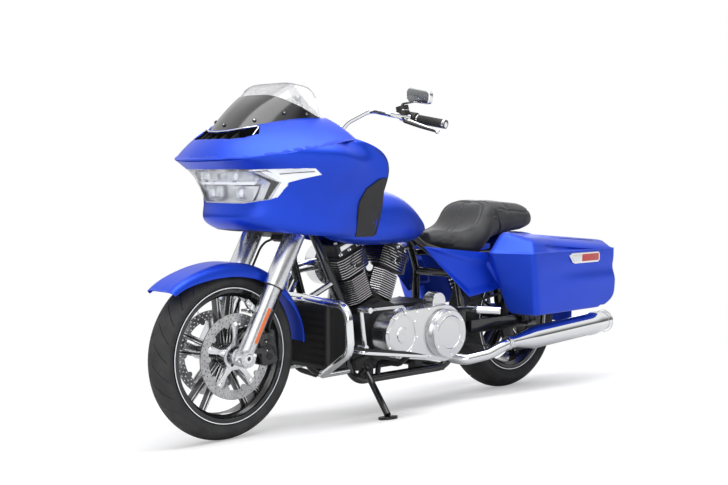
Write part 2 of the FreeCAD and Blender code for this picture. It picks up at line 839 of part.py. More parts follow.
def make_brake_hoses():
    """A hose up behind each fork leg to a joint under the lower yoke, and one on to the right hand lever."""
    back = Vector(-FORK_UP.z, 0, FORK_UP.x)
    yoke_back = Vector(-STEERING_UP.z, 0, STEERING_UP.x)
    place = on_steering_axis(size.lower_yoke_height) + yoke_back * size.hose_joint_back
    place = place - STEERING_UP * (size.yoke_thickness / 2)
    joint = Part.makeBox(24, 60, 16, Vector(-12, -30, -16))
    joint.Placement = Placement(place, Rotation(Vector(0, 1, 0), -size.rake_degrees))
    solids = [joint]
    for side in (1, -1):
        half = side * size.hose_half
        solids.append(tube([
            Vector(1476, side * 100, 380), on_fork(150, half) + back * 62, on_fork(300, half) + back * size.hose_back,
            on_fork(470, half) + back * size.hose_back, place + Vector(6, side * 70, -22),
            place + Vector(4, side * 26, -8),
        ], size.hose_radius, 70))
    solids.append(tube([
        place + Vector(-6, -16, -7), place + Vector(-36, -70, 4), Vector(1310, -110, 800), Vector(1275, -108, 850),
        Vector(1239, -100, 912), Vector(1230, -104, 1046), Vector(1110, -150, 1215), Vector(1046, -206, 1282),
        Vector(990, -306, 1238),
    ], size.hose_radius, 70))
    add_shape("brake_hoses", joined(solids))
    trim("brake_hoses", "front_calipers", "controls", "fork_yokes")


# Handlebar, controls and mirrors

BAR_POINTS = [
    Vector(1300, 0, 1010), Vector(1290, 110, 1030), Vector(1150, 176, 1192), Vector(1058, 205, 1240),
    Vector(1032, 285, 1222), Vector(936, 322, 1206), Vector(904, 458, 1180),
]


def bar_share(first, last, share):
    return BAR_POINTS[first] + (BAR_POINTS[last] - BAR_POINTS[first]) * share


def make_handlebar():
    path = [flipped(point) for point in reversed(BAR_POINTS[1:])] + BAR_POINTS[1:]
    bar = tube(path, size.bar_radius, 45)
    upper = on_steering_axis(size.upper_yoke_height) + STEERING_UP * (size.yoke_thickness / 2)
    risers = []
    for side in (1, -1):
        foot = upper + Vector(-10, side * 46, 0)
        head = Vector(1290, side * 46, 1030)
        risers.append(rod(foot - Vector(0, 0, 12), head + unit(head - foot) * 14, 17))
    solid = bar.multiFuse(risers)
    cut_box = Part.makeBox(300, 400, 60, Vector(-150, -200, -60))
    cut_box.Placement = Placement(upper, Rotation(Vector(0, 1, 0), -size.rake_degrees))
    add_shape("handlebar", solid.cut(cut_box).removeSplitter())


def make_controls():
    inner = BAR_POINTS[5]
    end = BAR_POINTS[6]
    along = unit(end - inner)
    grip_start = end - along * size.grip_length
    grip = rod(grip_start, end + along * 4, size.grip_radius)
    housing = rod(grip_start - along * 44, grip_start - along * 0.5, 24)
    pivot = grip_start - along * 30 + Vector(34, 0, -6)
    lever = tube([pivot - Vector(20, 0, 0), pivot + Vector(18, 10, -8), pivot + along * 90 + Vector(20, 0, -16),
                  pivot + along * 158 + Vector(12, 0, -22)], 6, 16)
    ball = Part.makeSphere(9, pivot + along * 158 + Vector(12, 0, -22))
    reservoir = Part.makeCylinder(25, 34, grip_start - along * 32 + Vector(34, 0, 10), Vector(0.1, -0.2, 1))
    mount = rod(grip_start - along * 32 + Vector(0, 0, 8), grip_start - along * 32 + Vector(36, 0, 16), 11)
    solid = grip.multiFuse([housing, lever, ball, reservoir, mount])
    solid = solid.cut(tube(BAR_POINTS[1:], size.bar_radius, 45)).removeSplitter()
    add_shape("controls", Part.makeCompound(both_sides(solid)))


def make_mirrors():
    inner = BAR_POINTS[5]
    along = unit(BAR_POINTS[6] - inner)
    base = BAR_POINTS[6] - along * (size.grip_length + 60)
    centre = Vector(955, 382, 1288)
    stem = tube([base + Vector(6, 0, 14), base + Vector(16, 6, 50), centre + Vector(14, -10, -18)], 6, 20)
    clamp = Part.makeCylinder(20, 18, base - along * 9, along)
    face = rounded_outline([centre + Vector(0, -66, 42), centre + Vector(0, 60, 18),
                            centre + Vector(0, 58, -36), centre + Vector(0, -62, -18)], 20)
    glass = Part.Face(face).extrude(Vector(20, 0, 0))
    head = glass.makeFillet(7, [edge for edge in glass.Edges if edge.CenterOfMass.x > centre.x + 19])
    solid = stem.multiFuse([clamp, head])
    solid = solid.cut(tube(BAR_POINTS[1:], size.bar_radius, 45)).removeSplitter()
    add_shape("mirrors", Part.makeCompound(both_sides(solid)))
    trim("mirrors", "controls")


# Frame, swingarm and suspension

def make_frame(lamp):
    neck_low = on_steering_axis(size.lower_yoke_height) + STEERING_UP * (size.yoke_thickness / 2 + size.neck_end_gap)
    neck_high = on_steering_axis(size.upper_yoke_height) - STEERING_UP * (size.yoke_thickness / 2 + size.neck_end_gap)
    neck = rod(neck_low, neck_high, size.neck_radius)
    middle = (neck_low + neck_high) / 2
    backbone = tube([middle] + BACKBONE, size.backbone_radius, 200)
    half = size.rail_half
    low = size.rail_height
    tubes = []
    for side in (1, -1):
        tubes.append(tube([
            middle + Vector(6, side * 8, -8), Vector(1225, side * 30, 798), Vector(1200, side * 96, 650),
            Vector(1110, side * half, 440),
            Vector(1096, side * half, low), Vector(540, side * half, low),
            Vector(436, side * size.post_half, 262), Vector(436, side * size.post_half, 420),
            Vector(452, side * half, 560), Vector(540, side * 66, 648), Vector(640, side * 12, 735),
        ], size.tube_radius, 90))
        tubes.append(tube([
            Vector(612, side * 14, 700), Vector(470, side * size.seat_rail_half, size.seat_rail_height),
            Vector(200, side * size.seat_rail_half, size.seat_rail_height),
            Vector(-60, side * size.seat_rail_half, 560),
            Vector(-300, side * size.seat_rail_half, 470),
        ], size.seat_rail_radius, 60))
    cross = [
        cross_rod(1096, 420, -half, half, size.tube_radius),
        cross_rod(540, low, -half, half, size.tube_radius),
        cross_rod(452, 560, -half, half, size.tube_radius),
    ]
    pivot = cross_rod(size.pivot_forward, size.pivot_height, -size.post_half, size.post_half, size.pivot_radius)
    plates = []
    for side in (1, -1):
        y = side * size.post_half
        plates.append(block(Vector(420, min(y - 8, y + 8), size.pivot_height - 70),
                            Vector(size.pivot_forward + 40, max(y - 8, y + 8), size.pivot_height + 60)))
    for side in (1, -1):
        near = side * (size.rear_fender_half + size.soft_gap)
        far = near + side * size.strut_thickness
        plates.append(block(Vector(-84, min(near, far), 552), Vector(-48, max(near, far), 700)))
    hinge, _, axis = stand_places()
    face = size.stand_eye_half + size.stand_side_gap
    stand_boss = rod(hinge - axis * 46, hinge - axis * face, 16)
    stand_pin = rod(hinge - axis * 40, hinge + axis * (face + 4), size.stand_pin_radius)
    stand_head = rod(hinge + axis * face, hinge + axis * (face + 6), 12)
    nose = rod(middle, Vector(1604, 0, 888), 13)
    solid = joined([neck, backbone] + tubes + cross + plates + [pivot, stand_boss, stand_pin, stand_head, nose])
    solid = solid.cut(rod(neck_low - STEERING_UP * 5, neck_high + STEERING_UP * 5,
                          size.stem_radius + size.running_gap))
    add_shape("main_frame", solid.cut(lamp))


def make_swingarm():
    half = size.swingarm_half
    wide = size.arm_width / 2
    arms = []
    for side in (1, -1):
        y = side * half
        arms.append(block(Vector(-48, y - wide, REAR_AXLE.z - size.arm_depth / 2),
                          Vector(404, y + wide, REAR_AXLE.z + size.arm_depth / 2)))
        arms.append(cross_rod(60, REAR_AXLE.z, min(y, side * (size.shock_half + 16)),
                              max(y, side * (size.shock_half + 16)), 10))
    bridge = block(Vector(372, -half, REAR_AXLE.z - 18), Vector(404, half, REAR_AXLE.z + 18))
    lug = block(Vector(404, -70, REAR_AXLE.z - 18), Vector(size.pivot_forward, 70, REAR_AXLE.z + 18))
    barrel = cross_rod(size.pivot_forward, size.pivot_height, -70, 70, size.pivot_radius + size.barrel_wall)
    axle = cross_rod(0, REAR_AXLE.z, -size.rear_axle_half, size.rear_axle_half, size.axle_radius)
    spacers = []
    sprocket_end = size.rear_hub_half + size.sprocket_offset + size.sprocket_width
    for low, high in ((-half, -size.rear_hub_half - 1), (sprocket_end + 1, half)):
        spacers.append(cross_rod(0, REAR_AXLE.z, low, high, size.axle_radius + 4))
    bush = cross_rod(size.pivot_forward, size.pivot_height, -80, 80, size.pivot_radius + size.soft_gap)
    solid = joined(arms + spacers + [bridge, lug, barrel, axle]).cut(bush)
    for side in (1, -1):
        solid = solid.cut(cross_rod(size.bobbin_forward, size.bobbin_height, side * half - wide - 1,
                                    side * half + wide + 1, size.bobbin_radius))
    add_shape("swingarm", solid)


def make_shocks():
    solids = []
    for side in (1, -1):
        y = side * size.shock_half
        low = Vector(60, y, REAR_AXLE.z)
        high = Vector(190, y, 600)
        along = unit(high - low)
        spring = rod(low + along * 46, high - along * 60, size.shock_radius)
        core = rod(low, high, 11)
        eyes = [cross_rod(low.x, low.z, y - 13, y + 13, 17), cross_rod(high.x, high.z, y - 13, y + 13, 17)]
        pin = cross_rod(high.x, high.z, min(side * size.seat_rail_half, y), max(side * size.seat_rail_half, y), 10)
        post = rod(Vector(high.x, side * size.seat_rail_half, 640), Vector(high.x, side * (size.seat_rail_half + 6),
                   high.z), 12)
        solids.append(joined([spring, core, pin, post] + eyes))
    add_shape("rear_shocks", Part.makeCompound(solids))
    trim("rear_shocks", "swingarm", "main_frame")


def make_rear_caliper():
    disc_high = -size.rear_hub_half
    disc_low = disc_high - size.disc_thickness
    middle = (disc_low + disc_high) / 2
    half = size.caliper_width / 2 - 2
    solid = caliper(REAR_AXLE, 60, size.rear_disc_radius - 22, middle - half, middle + half,
                    disc_low - size.disc_clearance, disc_high + size.disc_clearance)
    bracket = block(Vector(20, -size.swingarm_half, REAR_AXLE.z + 20), Vector(60, middle - half + 10,
                    REAR_AXLE.z + 110))
    add_shape("rear_caliper", solid.fuse(bracket).removeSplitter())
    trim("rear_caliper", "swingarm")


# Engine

def cylinder_place(side):
    return Placement(CRANK, Rotation(Vector(0, 1, 0), side * size.vee_half_degrees))


def make_cylinder(name, side):
    """A finned barrel with its finned head, cut back where the two cylinders meet."""
    part_body = body(f"{name}_body")
    core = sketch(part_body, f"{name}Core", "XY_Plane", "deck_height")
    circle(core, "0", "0", "barrel_radius")
    pad(part_body, core, "head_start - deck_height", "One side")
    fin = sketch(part_body, f"{name}Fin", "XY_Plane", "deck_height + 14")
    bevel = "fin_half * 0.45"
    octagon = [
        ("fin_half", bevel), (bevel, "fin_half"), (f"-{bevel}", "fin_half"), ("-fin_half", bevel),
        ("-fin_half", f"-{bevel}"), (f"-{bevel}", "-fin_half"), (bevel, "-fin_half"), ("fin_half", f"-{bevel}"),
    ]
    outline(fin, octagon)
    fin_pad = pad(part_body, fin, "fin_thickness", "One side")
    row(part_body, fin_pad, fin, "fin_pitch", "barrel_fins")
    head = sketch(part_body, f"{name}Head", "XY_Plane", "head_start")
    outline(head, [
        ("head_half", "-head_half"), ("head_half", "head_half"), ("-head_half", "head_half"),
        ("-head_half", "-head_half"),
    ])
    pad(part_body, head, "head_height", "One side")
    head_fin = sketch(part_body, f"{name}HeadFin", "XY_Plane", "head_start + 6")
    outline(head_fin, [
        ("head_half + 14", "-head_half"), ("head_half + 14", "head_half"), ("head_half - 10", "head_half + 14"),
        ("-head_half + 10", "head_half + 14"), ("-head_half - 14", "head_half"), ("-head_half - 14", "-head_half"),
        ("-head_half + 10", "-head_half - 14"), ("head_half - 10", "-head_half - 14"),
    ])
    head_fin_pad = pad(part_body, head_fin, "fin_thickness", "One side")
    row(part_body, head_fin_pad, head_fin, "fin_pitch * 1.15", "head_fins")
    part_body.Placement = cylinder_place(side)
    part_body.Label = f"{name}_uncut"
    vee = doc.addObject("Part::Box", f"{name}_vee")
    vee.setExpression("Length", expression("fin_half * 3"))
    vee.setExpression("Width", expression("fin_half * 4"))
    vee.setExpression("Height", expression("fin_half * 8"))
    shift = size.vee_gap if side < 0 else -size.vee_gap - size.fin_half * 3
    corner = CRANK + Vector(-size.vee_gap if side < 0 else shift + 2 * size.vee_gap, -size.fin_half * 2, 0)
    vee.Placement = Placement(corner, Rotation())
    cut = doc.addObject("Part::Cut", name)
    cut.Base = part_body
    cut.Tool = vee
    add_piece(name, cut)


def make_rocker_covers():
    solids = []
    start = size.head_start + size.head_height
    for side in (1, -1):
        half = size.rocker_half
        box = Part.makeBox(2 * half, 2 * half + 10, size.rocker_height, Vector(-half, -half - 5, start))
        box = box.makeFillet(12, [edge for edge in box.Edges if edge.CenterOfMass.z > start + 1])
        box.Placement = cylinder_place(side)
        solids.append(box)
    add_shape("rocker_covers", Part.makeCompound(solids))


def make_engine_case():
    drum = cross_rod(CRANK.x, CRANK.z, -size.case_right, size.case_left - 30, size.case_radius)
    decks = []
    for side in (1, -1):
        deck = Part.makeBox(128, 150, size.deck_height, Vector(-64, -75, 0))
        deck.Placement = cylinder_place(side)
        decks.append(deck)
    gearbox = block(Vector(size.gearbox_back, -96, size.gearbox_bottom),
                    Vector(CRANK.x, 96, size.gearbox_top))
    inner_primary = cross_rod(size.clutch_forward, size.clutch_height, 90, size.case_left,
                              size.primary_rear_radius)
    front_primary = cross_rod(CRANK.x, CRANK.z - 5, 90, size.case_left, size.primary_front_radius)
    web = block(Vector(size.clutch_forward, 90, CRANK.z - 84), Vector(CRANK.x, size.case_left, CRANK.z + 80))
    sump = block(Vector(640, -88, size.sump_bottom), Vector(1000, 88, CRANK.z))
    lugs = []
    for side in (1, -1):
        for x in (690, 980):
            lugs.append(block(Vector(x - 22, min(side * 80, side * size.rail_half), size.rail_height),
                              Vector(x + 22, max(side * 80, side * size.rail_half), CRANK.z - 40)))
    case = joined([drum, gearbox, inner_primary, front_primary, web, sump] + decks + lugs)
    case = case.cut(block(Vector(CRANK.x - 200, -120, CRANK.z + size.deck_height + 3),
                          Vector(CRANK.x + 200, 160, CRANK.z + 300)))
    add_shape("engine_case", case.removeSplitter())
    trim("engine_case", "main_frame", "front_cylinder", "rear_cylinder")


def make_primary_cover():
    """The chrome cover over the primary drive, with the round clutch cover on it."""
    part_body = body("primary_cover_body")
    for name, across, up, radius in (
            ("FrontRound", "crank_forward", "crank_height - 5", "primary_front_radius"),
            ("RearRound", "clutch_forward", "clutch_height", "primary_rear_radius")):
        drawing = sketch(part_body, name, "XZ_Plane")
        circle(drawing, across, up, radius)
        pad(part_body, drawing, "primary_left - case_left", "One side", True)
    bridge = sketch(part_body, "Bridge", "XZ_Plane")
    outline(bridge, [
        ("clutch_forward", "clutch_height - primary_rear_radius"),
        ("crank_forward", "crank_height - 5 - primary_front_radius"),
        ("crank_forward", "crank_height - 5 + primary_front_radius"),
        ("clutch_forward", "clutch_height + primary_rear_radius"),
    ])
    pad(part_body, bridge, "primary_left - case_left", "One side", True)
    clutch = sketch(part_body, "Clutch", "XZ_Plane")
    circle(clutch, "clutch_forward", "clutch_height", "derby_radius")
    pad(part_body, clutch, "derby_left - case_left", "One side", True)
    starter = sketch(part_body, "StarterBump", "XZ_Plane")
    circle(starter, "clutch_forward + 6", "clutch_height + primary_rear_radius + 10", "40")
    pad(part_body, starter, "(primary_left - case_left) * 0.7", "One side", True)
    place = Placement(Vector(0, size.case_left, 0), Rotation())
    add_piece("primary_cover", part_body, place)


def make_cam_cover():
    drum = cross_rod(CRANK.x, CRANK.z + 6, -size.cam_right, -size.case_right, size.cam_radius)
    nose = cross_rod(CRANK.x + 70, CRANK.z - 30, -size.cam_right + 12, -size.case_right, 52)
    lifter = block(Vector(CRANK.x - 74, -size.cam_right + 22, CRANK.z + 20),
                   Vector(CRANK.x + 74, -size.case_right, CRANK.z + 112))
    cover = joined([drum, nose, lifter])
    cover = cover.makeFillet(6, [edge for edge in cover.Edges
                                 if edge.BoundBox.YMax < -size.cam_right + 1 and edge.Closed])
    solids = [cover]
    for side in (1, -1):
        up = cylinder_place(side).Rotation.multVec(Vector(0, 0, 1))
        for shift in (18, 50):
            foot = CRANK + Vector(side * shift, -size.cam_right + 40, 112)
            top = CRANK + up * (size.head_start - 0.5) + Vector(side * (shift - 40) * 0.6, 0, 0)
            top.y = -size.head_half - 2
            solids.append(rod(foot, top, size.pushrod_radius))
    add_shape("cam_cover", joined(solids))
    trim("cam_cover", "front_cylinder", "rear_cylinder", "engine_case")


def make_air_cleaner():
    centre = CRANK + Vector(6, 0, 262)
    drum = cross_rod(centre.x, centre.z, -size.cleaner_right, -size.cleaner_right + 70, size.cleaner_radius)
    drum = drum.makeFillet(16, [edge for edge in drum.Edges if edge.CenterOfMass.y < -size.cleaner_right + 1])
    throat = cross_rod(CRANK.x, centre.z, -size.cleaner_right + 70, 40, 20)
    arms = [cross_rod(CRANK.x + shift, centre.z + 6, -size.cleaner_right + 60, -50, 8) for shift in (-68, 68)]
    add_shape("air_cleaner", joined([drum, throat] + arms))
    trim("air_cleaner", "front_cylinder", "rear_cylinder", "cam_cover")


def make_oil_cooler():
    front = 1232
    box = block(Vector(1128, -150, 232), Vector(front, 150, 484))
    box = box.makeFillet(14, [edge for edge in box.Edges if abs(edge.tangentAt(edge.FirstParameter).z) > 0.9])
    louvres = []
    for count in range(8):
        z = 250 + count * 28
        louvres.append(block(Vector(front - 12, -134, z), Vector(front + 1, 134, z + 12)))
    add_shape("oil_cooler", box.cut(Part.makeCompound(louvres)))
    trim("oil_cooler", "main_frame")


# Final drive

def belt_band(outer_extra, inner_extra, width):
    """A band round the rear sprocket and the gearbox pulley."""
    rear = Vector(REAR_AXLE.x, 0, REAR_AXLE.z)
    front = Vector(size.gearbox_back + 40, 0, size.pivot_height)

    def loop(extra):
        big = size.sprocket_radius + extra
        small = size.pulley_radius + extra
        span = (front - rear).Length
        base = math.atan2(front.z - rear.z, front.x - rear.x)
        swing = math.acos((big - small) / span)
        spots = []
        for centre, radius in ((rear, big), (front, small)):
            for turn in (base + swing, base - swing):
                spots.append(centre + Vector(math.cos(turn) * radius, 0, math.sin(turn) * radius))
        back = rear - unit(front - rear) * big
        nose = front + unit(front - rear) * small
        return Part.Wire([
            Part.LineSegment(spots[0], spots[2]).toShape(), Part.Arc(spots[2], nose, spots[3]).toShape(),
            Part.LineSegment(spots[3], spots[1]).toShape(), Part.Arc(spots[1], back, spots[0]).toShape(),
        ])

    outer = Part.Face(loop(outer_extra)).extrude(Vector(0, width, 0))
    inner = Part.Face(loop(inner_extra)).extrude(Vector(0, width, 0))
    return outer.cut(inner)


def make_belt():
    start = size.rear_hub_half + size.sprocket_offset + (size.sprocket_width - size.belt_width) / 2
    band = belt_band(size.belt_gap + size.belt_thickness, size.belt_gap, size.belt_width)
    band.translate(Vector(0, start, 0))
    pulley = cross_rod(size.gearbox_back + 40, size.pivot_height, 96, start + size.belt_width + 2,
                       size.pulley_radius + size.belt_gap)
    add_shape("drive_belt", joined([band, pulley]))
    trim("drive_belt", "engine_case")


# Exhaust

def make_exhaust():
    radius = size.header_radius
    muffler_mouth = Vector(size.muffler_start, -size.muffler_half, size.muffler_start_height)
    right = tube([
        Vector(1060, -100, 622), Vector(1150, -176, 600), Vector(1168, -196, 420), Vector(1060, -196, 262),
        Vector(800, -190, 218), Vector(560, -200, 206), Vector(430, -252, 226),
        Vector(muffler_mouth.x + 60, muffler_mouth.y, 250), muffler_mouth,
    ], radius, 90)
    rear = tube([
        Vector(700, -100, 600), Vector(628, -170, 590), Vector(596, -206, 430), Vector(640, -212, 300),
        Vector(760, -196, 224),
    ], radius - 2, 70)
    left = tube([
        Vector(600, -196, 210), Vector(552, -100, 214), Vector(540, 80, 214), Vector(480, 196, 196),
        Vector(400, 262, 220), flipped(muffler_mouth) + Vector(50, 0, -12), flipped(muffler_mouth),
    ], radius, 90)
    solid = joined([right, rear, left])
    add_shape("exhaust_pipes", solid)
    trim("exhaust_pipes", "front_cylinder", "rear_cylinder", "main_frame")


def make_mufflers():
    part_body = body("muffler_body")
    drawing = sketch(part_body, "MufflerSection", "XZ_Plane")
    outline(drawing, [
        ("-header_radius", "0"), ("-header_radius - 3", "0"), ("-header_radius - 4", "40"),
        ("-muffler_radius", "150"), ("-muffler_radius", "560"), ("-muffler_radius - 3", "566"),
        ("-muffler_radius - 3", "600"), ("-muffler_radius + 8", "muffler_start - muffler_end"),
        ("-muffler_radius + 13", "muffler_start - muffler_end"), ("-muffler_radius + 13", "620"),
        ("0", "600"), ("0", "20"), ("-header_radius", "20"),
    ])
    revolve(part_body, drawing, "V_Axis")
    start = Vector(size.muffler_start, size.muffler_half, size.muffler_start_height)
    finish = Vector(size.muffler_end, size.muffler_half + 8, size.muffler_end_height)
    turn = Rotation(Vector(0, 0, 1), finish - start)
    mirrored_pair("mufflers", part_body, Placement(start, turn))
    trim("mufflers", "exhaust_pipes")


# Tank, seat and side covers

def half_section(x, points):
    """The left half of a section at x: a curve from top to bottom, closed at the middle plane."""
    left = [Vector(x, y, z) for y, z in points]
    curve = Part.BSplineCurve()
    curve.interpolate(Points=left, InitialTangent=Vector(0, 1, 0), FinalTangent=Vector(0, -1, 0))
    return Part.Wire([curve.toShape(), Part.LineSegment(left[-1], left[0]).toShape()])


def make_tank():
    half = size.tank_half
    top = size.tank_top
    low = size.tank_bottom
    stations = (
        (size.tank_back, 0.20, top - 160, low + 44), (620, 0.50, top - 106, low + 22),
        (700, 0.78, top - 52, low + 4), (800, 0.96, top - 8, low), (900, 1.0, top, low),
        (1000, 0.98, top - 6, low + 4), (1100, 0.9, top - 24, low + 16), (size.tank_front, 0.74, top - 56, low + 40),
    )
    sections = []
    for x, share, high, bottom in stations:
        wide = half * share
        deep = high - bottom
        sections.append(half_section(x, [
            (0, high), (wide * 0.5, high - deep * 0.05), (wide * 0.9, high - deep * 0.24),
            (wide, high - deep * 0.52), (wide * 0.88, bottom + deep * 0.1), (wide * 0.5, bottom), (0, bottom),
        ]))
    tank = mirrored_loft(sections)
    tunnel = block(Vector(640, -size.tank_tunnel, 600), Vector(1260, size.tank_tunnel, 774))
    slot = block(Vector(500, -size.backbone_radius, 600), Vector(1260, size.backbone_radius, 812))
    cap = Part.makeCylinder(32, 14, Vector(905, 0, top - 4), Vector(0, 0, 1))
    add_shape("fuel_tank", tank.cut(tunnel.fuse(slot)).fuse(cap))
    trim("fuel_tank", "main_frame")


def make_seat():
    half = size.seat_half
    stations = (
        (size.seat_nose, 0.34, 750, 692), (470, 0.64, 744, 664), (390, 0.92, 744, 644), (310, 1.0, 784, 656),
        (250, 0.98, size.seat_back_rise - 10, 696), (200, 0.94, size.seat_back_rise, 715),
        (110, 0.9, size.seat_back_rise - 7, 731), (10, 0.86, size.seat_back_rise - 15, 740),
        (-60, 0.76, 832, 743), (size.seat_end, 0.42, 776, 746),
    )
    sections = []
    for x, share, high, bottom in stations:
        wide = half * share
        deep = high - bottom
        sections.append(half_section(x, [
            (0, high), (wide * 0.6, high + 4 - deep * 0.06), (wide * 0.93, high - deep * 0.3),
            (wide, high - deep * 0.62), (wide * 0.9, bottom + deep * 0.08), (wide * 0.5, bottom), (0, bottom),
        ]))
    seat = mirrored_loft(sections)
    for side in (1, -1):
        rail_y = side * size.seat_rail_half
        seat = seat.cut(rod(Vector(180, rail_y, size.seat_rail_height), Vector(480, rail_y, size.seat_rail_height),
                            size.seat_rail_radius + size.soft_gap))
    add_shape("seat", max(seat.Solids, key=lambda solid: solid.Volume))


def make_side_covers():
    solid = Part.Face(rounded_outline([
        Vector(682, 0, 688), Vector(340, 0, 648), Vector(260, 0, 492), Vector(440, 0, 462), Vector(624, 0, 630),
    ], 12)).extrude(Vector(0, 5, 0))
    turn = Rotation(Vector(0, 0, 1), -10)
    shift = Vector(600, 150, 0) - turn.multVec(Vector(600, 0, 0))
    solid.Placement = Placement(shift, turn)
    boss = cross_rod(470, 580, size.rail_half - 6, 190, 9)
    solid = joined([solid, boss.cut(block(Vector(300, 183, 400), Vector(700, 300, 700)))])
    add_shape("side_covers", Part.makeCompound(both_sides(solid)))
    trim("side_covers", "main_frame")


def make_rear_fender():
    centre = Vector(-20, 0, REAR_AXLE.z)
    rows = fender_rows(centre, size.rear_fender_radius, size.rear_fender_half, size.rear_fender_skirt,
                       size.rear_fender_front_degrees, size.rear_fender_rear_degrees, 0, 6)
    foot = Vector(centre.x + size.rack_nut_forward, 0, size.rack_nut_top - size.rack_nut_length)
    up = Vector(0, 0, 1)
    nut = Part.makeCylinder(size.rack_nut_radius, size.rack_nut_length, foot, up)
    hole = Part.makeCylinder(size.rack_hole_radius, size.rack_nut_length + 20, foot - up * 10, up)
    solid = skin(rows, size.fender_wall).fuse(nut).cut(hole)
    add_shape("rear_fender", solid)
    trim("rear_fender", "main_frame")


# Fairing

RIDGE = [Vector(1270, 350, 1119), Vector(1390, 362, 1100), Vector(1500, 350, 1080), Vector(1613, 292, 1060),
         Vector(1693, 200, 1046), Vector(1741, 100, 1040), Vector(1757, 0, 1038)]
TOP_EDGE = [Vector(1300, 215, 1200), Vector(1380, 206, 1198), Vector(1462, 188, 1190), Vector(1540, 156, 1176),
            Vector(1600, 112, 1162), Vector(1632, 58, 1153), Vector(1640, 0, 1150)]
WAIST = [Vector(1155, 398, 1039), Vector(1300, 384, 1020), Vector(1440, 350, 1006), Vector(1552, 288, 1000),
         Vector(1629, 200, 1003), Vector(1664, 100, 1006), Vector(1674, 0, 1008)]
BELLY = [Vector(1110, 318, 890), Vector(1240, 308, 884), Vector(1376, 284, 881), Vector(1500, 240, 883),
         Vector(1586, 165, 886), Vector(1618, 84, 884), Vector(1627, 0, 882)]
JAW = [Vector(1098, 288, 842), Vector(1220, 288, 838), Vector(1352, 274, 838), Vector(1480, 238, 844),
       Vector(1586, 168, 851), Vector(1628, 88, 853), Vector(1639, 0, 853)]
BOTTOM = [Vector(1074, 235, 747), Vector(1176, 240, 750), Vector(1288, 238, 756), Vector(1396, 224, 764),
          Vector(1498, 176, 775), Vector(1566, 98, 781), Vector(1588, 0, 782)]


def fairing_rows():
    """Rows of points over the hood and over the sides with the chin, from left to right."""
    hood_rows = with_mirror_rows([list(points) for points in zip(TOP_EDGE, RIDGE)])
    side_rows = with_mirror_rows([list(points) for points in zip(RIDGE, WAIST, BELLY, JAW, BOTTOM)])
    under = Vector(-1, 0, -size.hood_overlap)
    hood_rows = [[top, (top + low) / 2 + Vector(0.18, 0, 0.6) * 12, low + under] for top, low in hood_rows]
    return hood_rows, side_rows


LAMP_HALF = [(249, 1008), (344, 1012), (338, 987), (268, 960), (204, 899), (112, 883)]
LAMP_OUTLINE = LAMP_HALF + [(-across, high) for across, high in reversed(LAMP_HALF)]


def lamp_prism(back, front):
    points = [Vector(back, y, z) for y, z in LAMP_OUTLINE]
    face = Part.Face(Part.makePolygon(points + points[:1]))
    return face.extrude(Vector(front - back, 0, 0))


def make_fairing_pieces():
    hood_rows, side_rows = fairing_rows()
    prism = lamp_prism(1400, 1800)
    shell = skin(hood_rows, -size.fairing_wall).fuse(skin(side_rows, -size.fairing_wall)).cut(prism)
    add_shape("outer_fairing", shell)
    lamp = skin(side_rows, -size.lamp_depth).common(prism)
    add_shape("headlamp", lamp)
    make_windscreen(shell)
    make_inner_fairing(shell)
    return lamp


SCREEN_FOOT = [Vector(1325, 213, 1200)] + TOP_EDGE[1:]
SCREEN_HEAD = [(-47, 214, -71), (-30, 200, -33), (-14, 160, -13), (-4, 112, -3), (-1, 72, 0), (0, 36, 0), (0, 0, 0)]


def make_windscreen(shell):
    """The screen: columns from its rounded upper edge to the hood's edge."""
    crown = Vector(size.screen_top_forward, 0, size.screen_top)
    half_rows = []
    for low, shift in zip(SCREEN_FOOT, SCREEN_HEAD):
        top = crown + Vector(*shift)
        foot = low + Vector(-size.screen_tuck, 0, -size.screen_overlap)
        foot.y = max(low.y - 3, 0)
        bulge = Vector(0.5, 0, 0.6) * ((top - foot).Length * size.screen_bulge)
        half_rows.append([top, (top + foot) / 2 + bulge, foot])
    screen = skin(with_mirror_rows(half_rows), -size.screen_wall).cut(shell)
    add_shape("windscreen", max(screen.Solids, key=lambda solid: solid.Volume))


def make_inner_fairing(shell):
    """The dash panel across the back of the fairing, with its gauge visor."""
    x = size.dash_forward
    half = [Vector(x, 0, 1206), Vector(x, 208, 1201), Vector(x, 300, 1172), Vector(x, 385, 1116),
            Vector(x, 420, 1020), Vector(x, 350, 930), Vector(x, 200, 930), Vector(x, 150, 1084)]
    ring = half + [flipped(point) for point in reversed(half[1:])]
    panel = Part.Face(Part.makePolygon(ring + ring[:1])).extrude(Vector(size.fairing_wall, 0, 0)).cut(shell)
    for rows in fairing_rows():
        panel = panel.cut(skin(rows, 90))
    panel = max(panel.Solids, key=lambda solid: solid.Volume)
    pod_back = x - 42
    parts = [panel, block(Vector(pod_back, -92, 1120), Vector(x, 92, 1188))]
    dials = [(side * 46, 1154, size.gauge_radius, pod_back) for side in (1, -1)]
    dials += [(side * 268, 1066, size.speaker_radius, x) for side in (1, -1)]
    backwards = Vector(-1, 0, 0)
    for y, z, radius, back in dials:
        parts.append(Part.makeCylinder(radius, size.dial_depth, Vector(back, y, z), backwards))
    solid = joined(parts)
    for y, z, radius, back in dials:
        solid = solid.cut(Part.makeCylinder(radius - 3, 3, Vector(back - size.dial_depth + 3, y, z), backwards))
    add_shape("inner_fairing", solid)
    trim("inner_fairing", "windscreen")


# Saddlebags

BAG_LEVELS = [(-size.bag_depth, 145, 62, 60), (-220, 112, 50, -29), (-120, 60, 26, -17), (0, 0, 0, 0)]


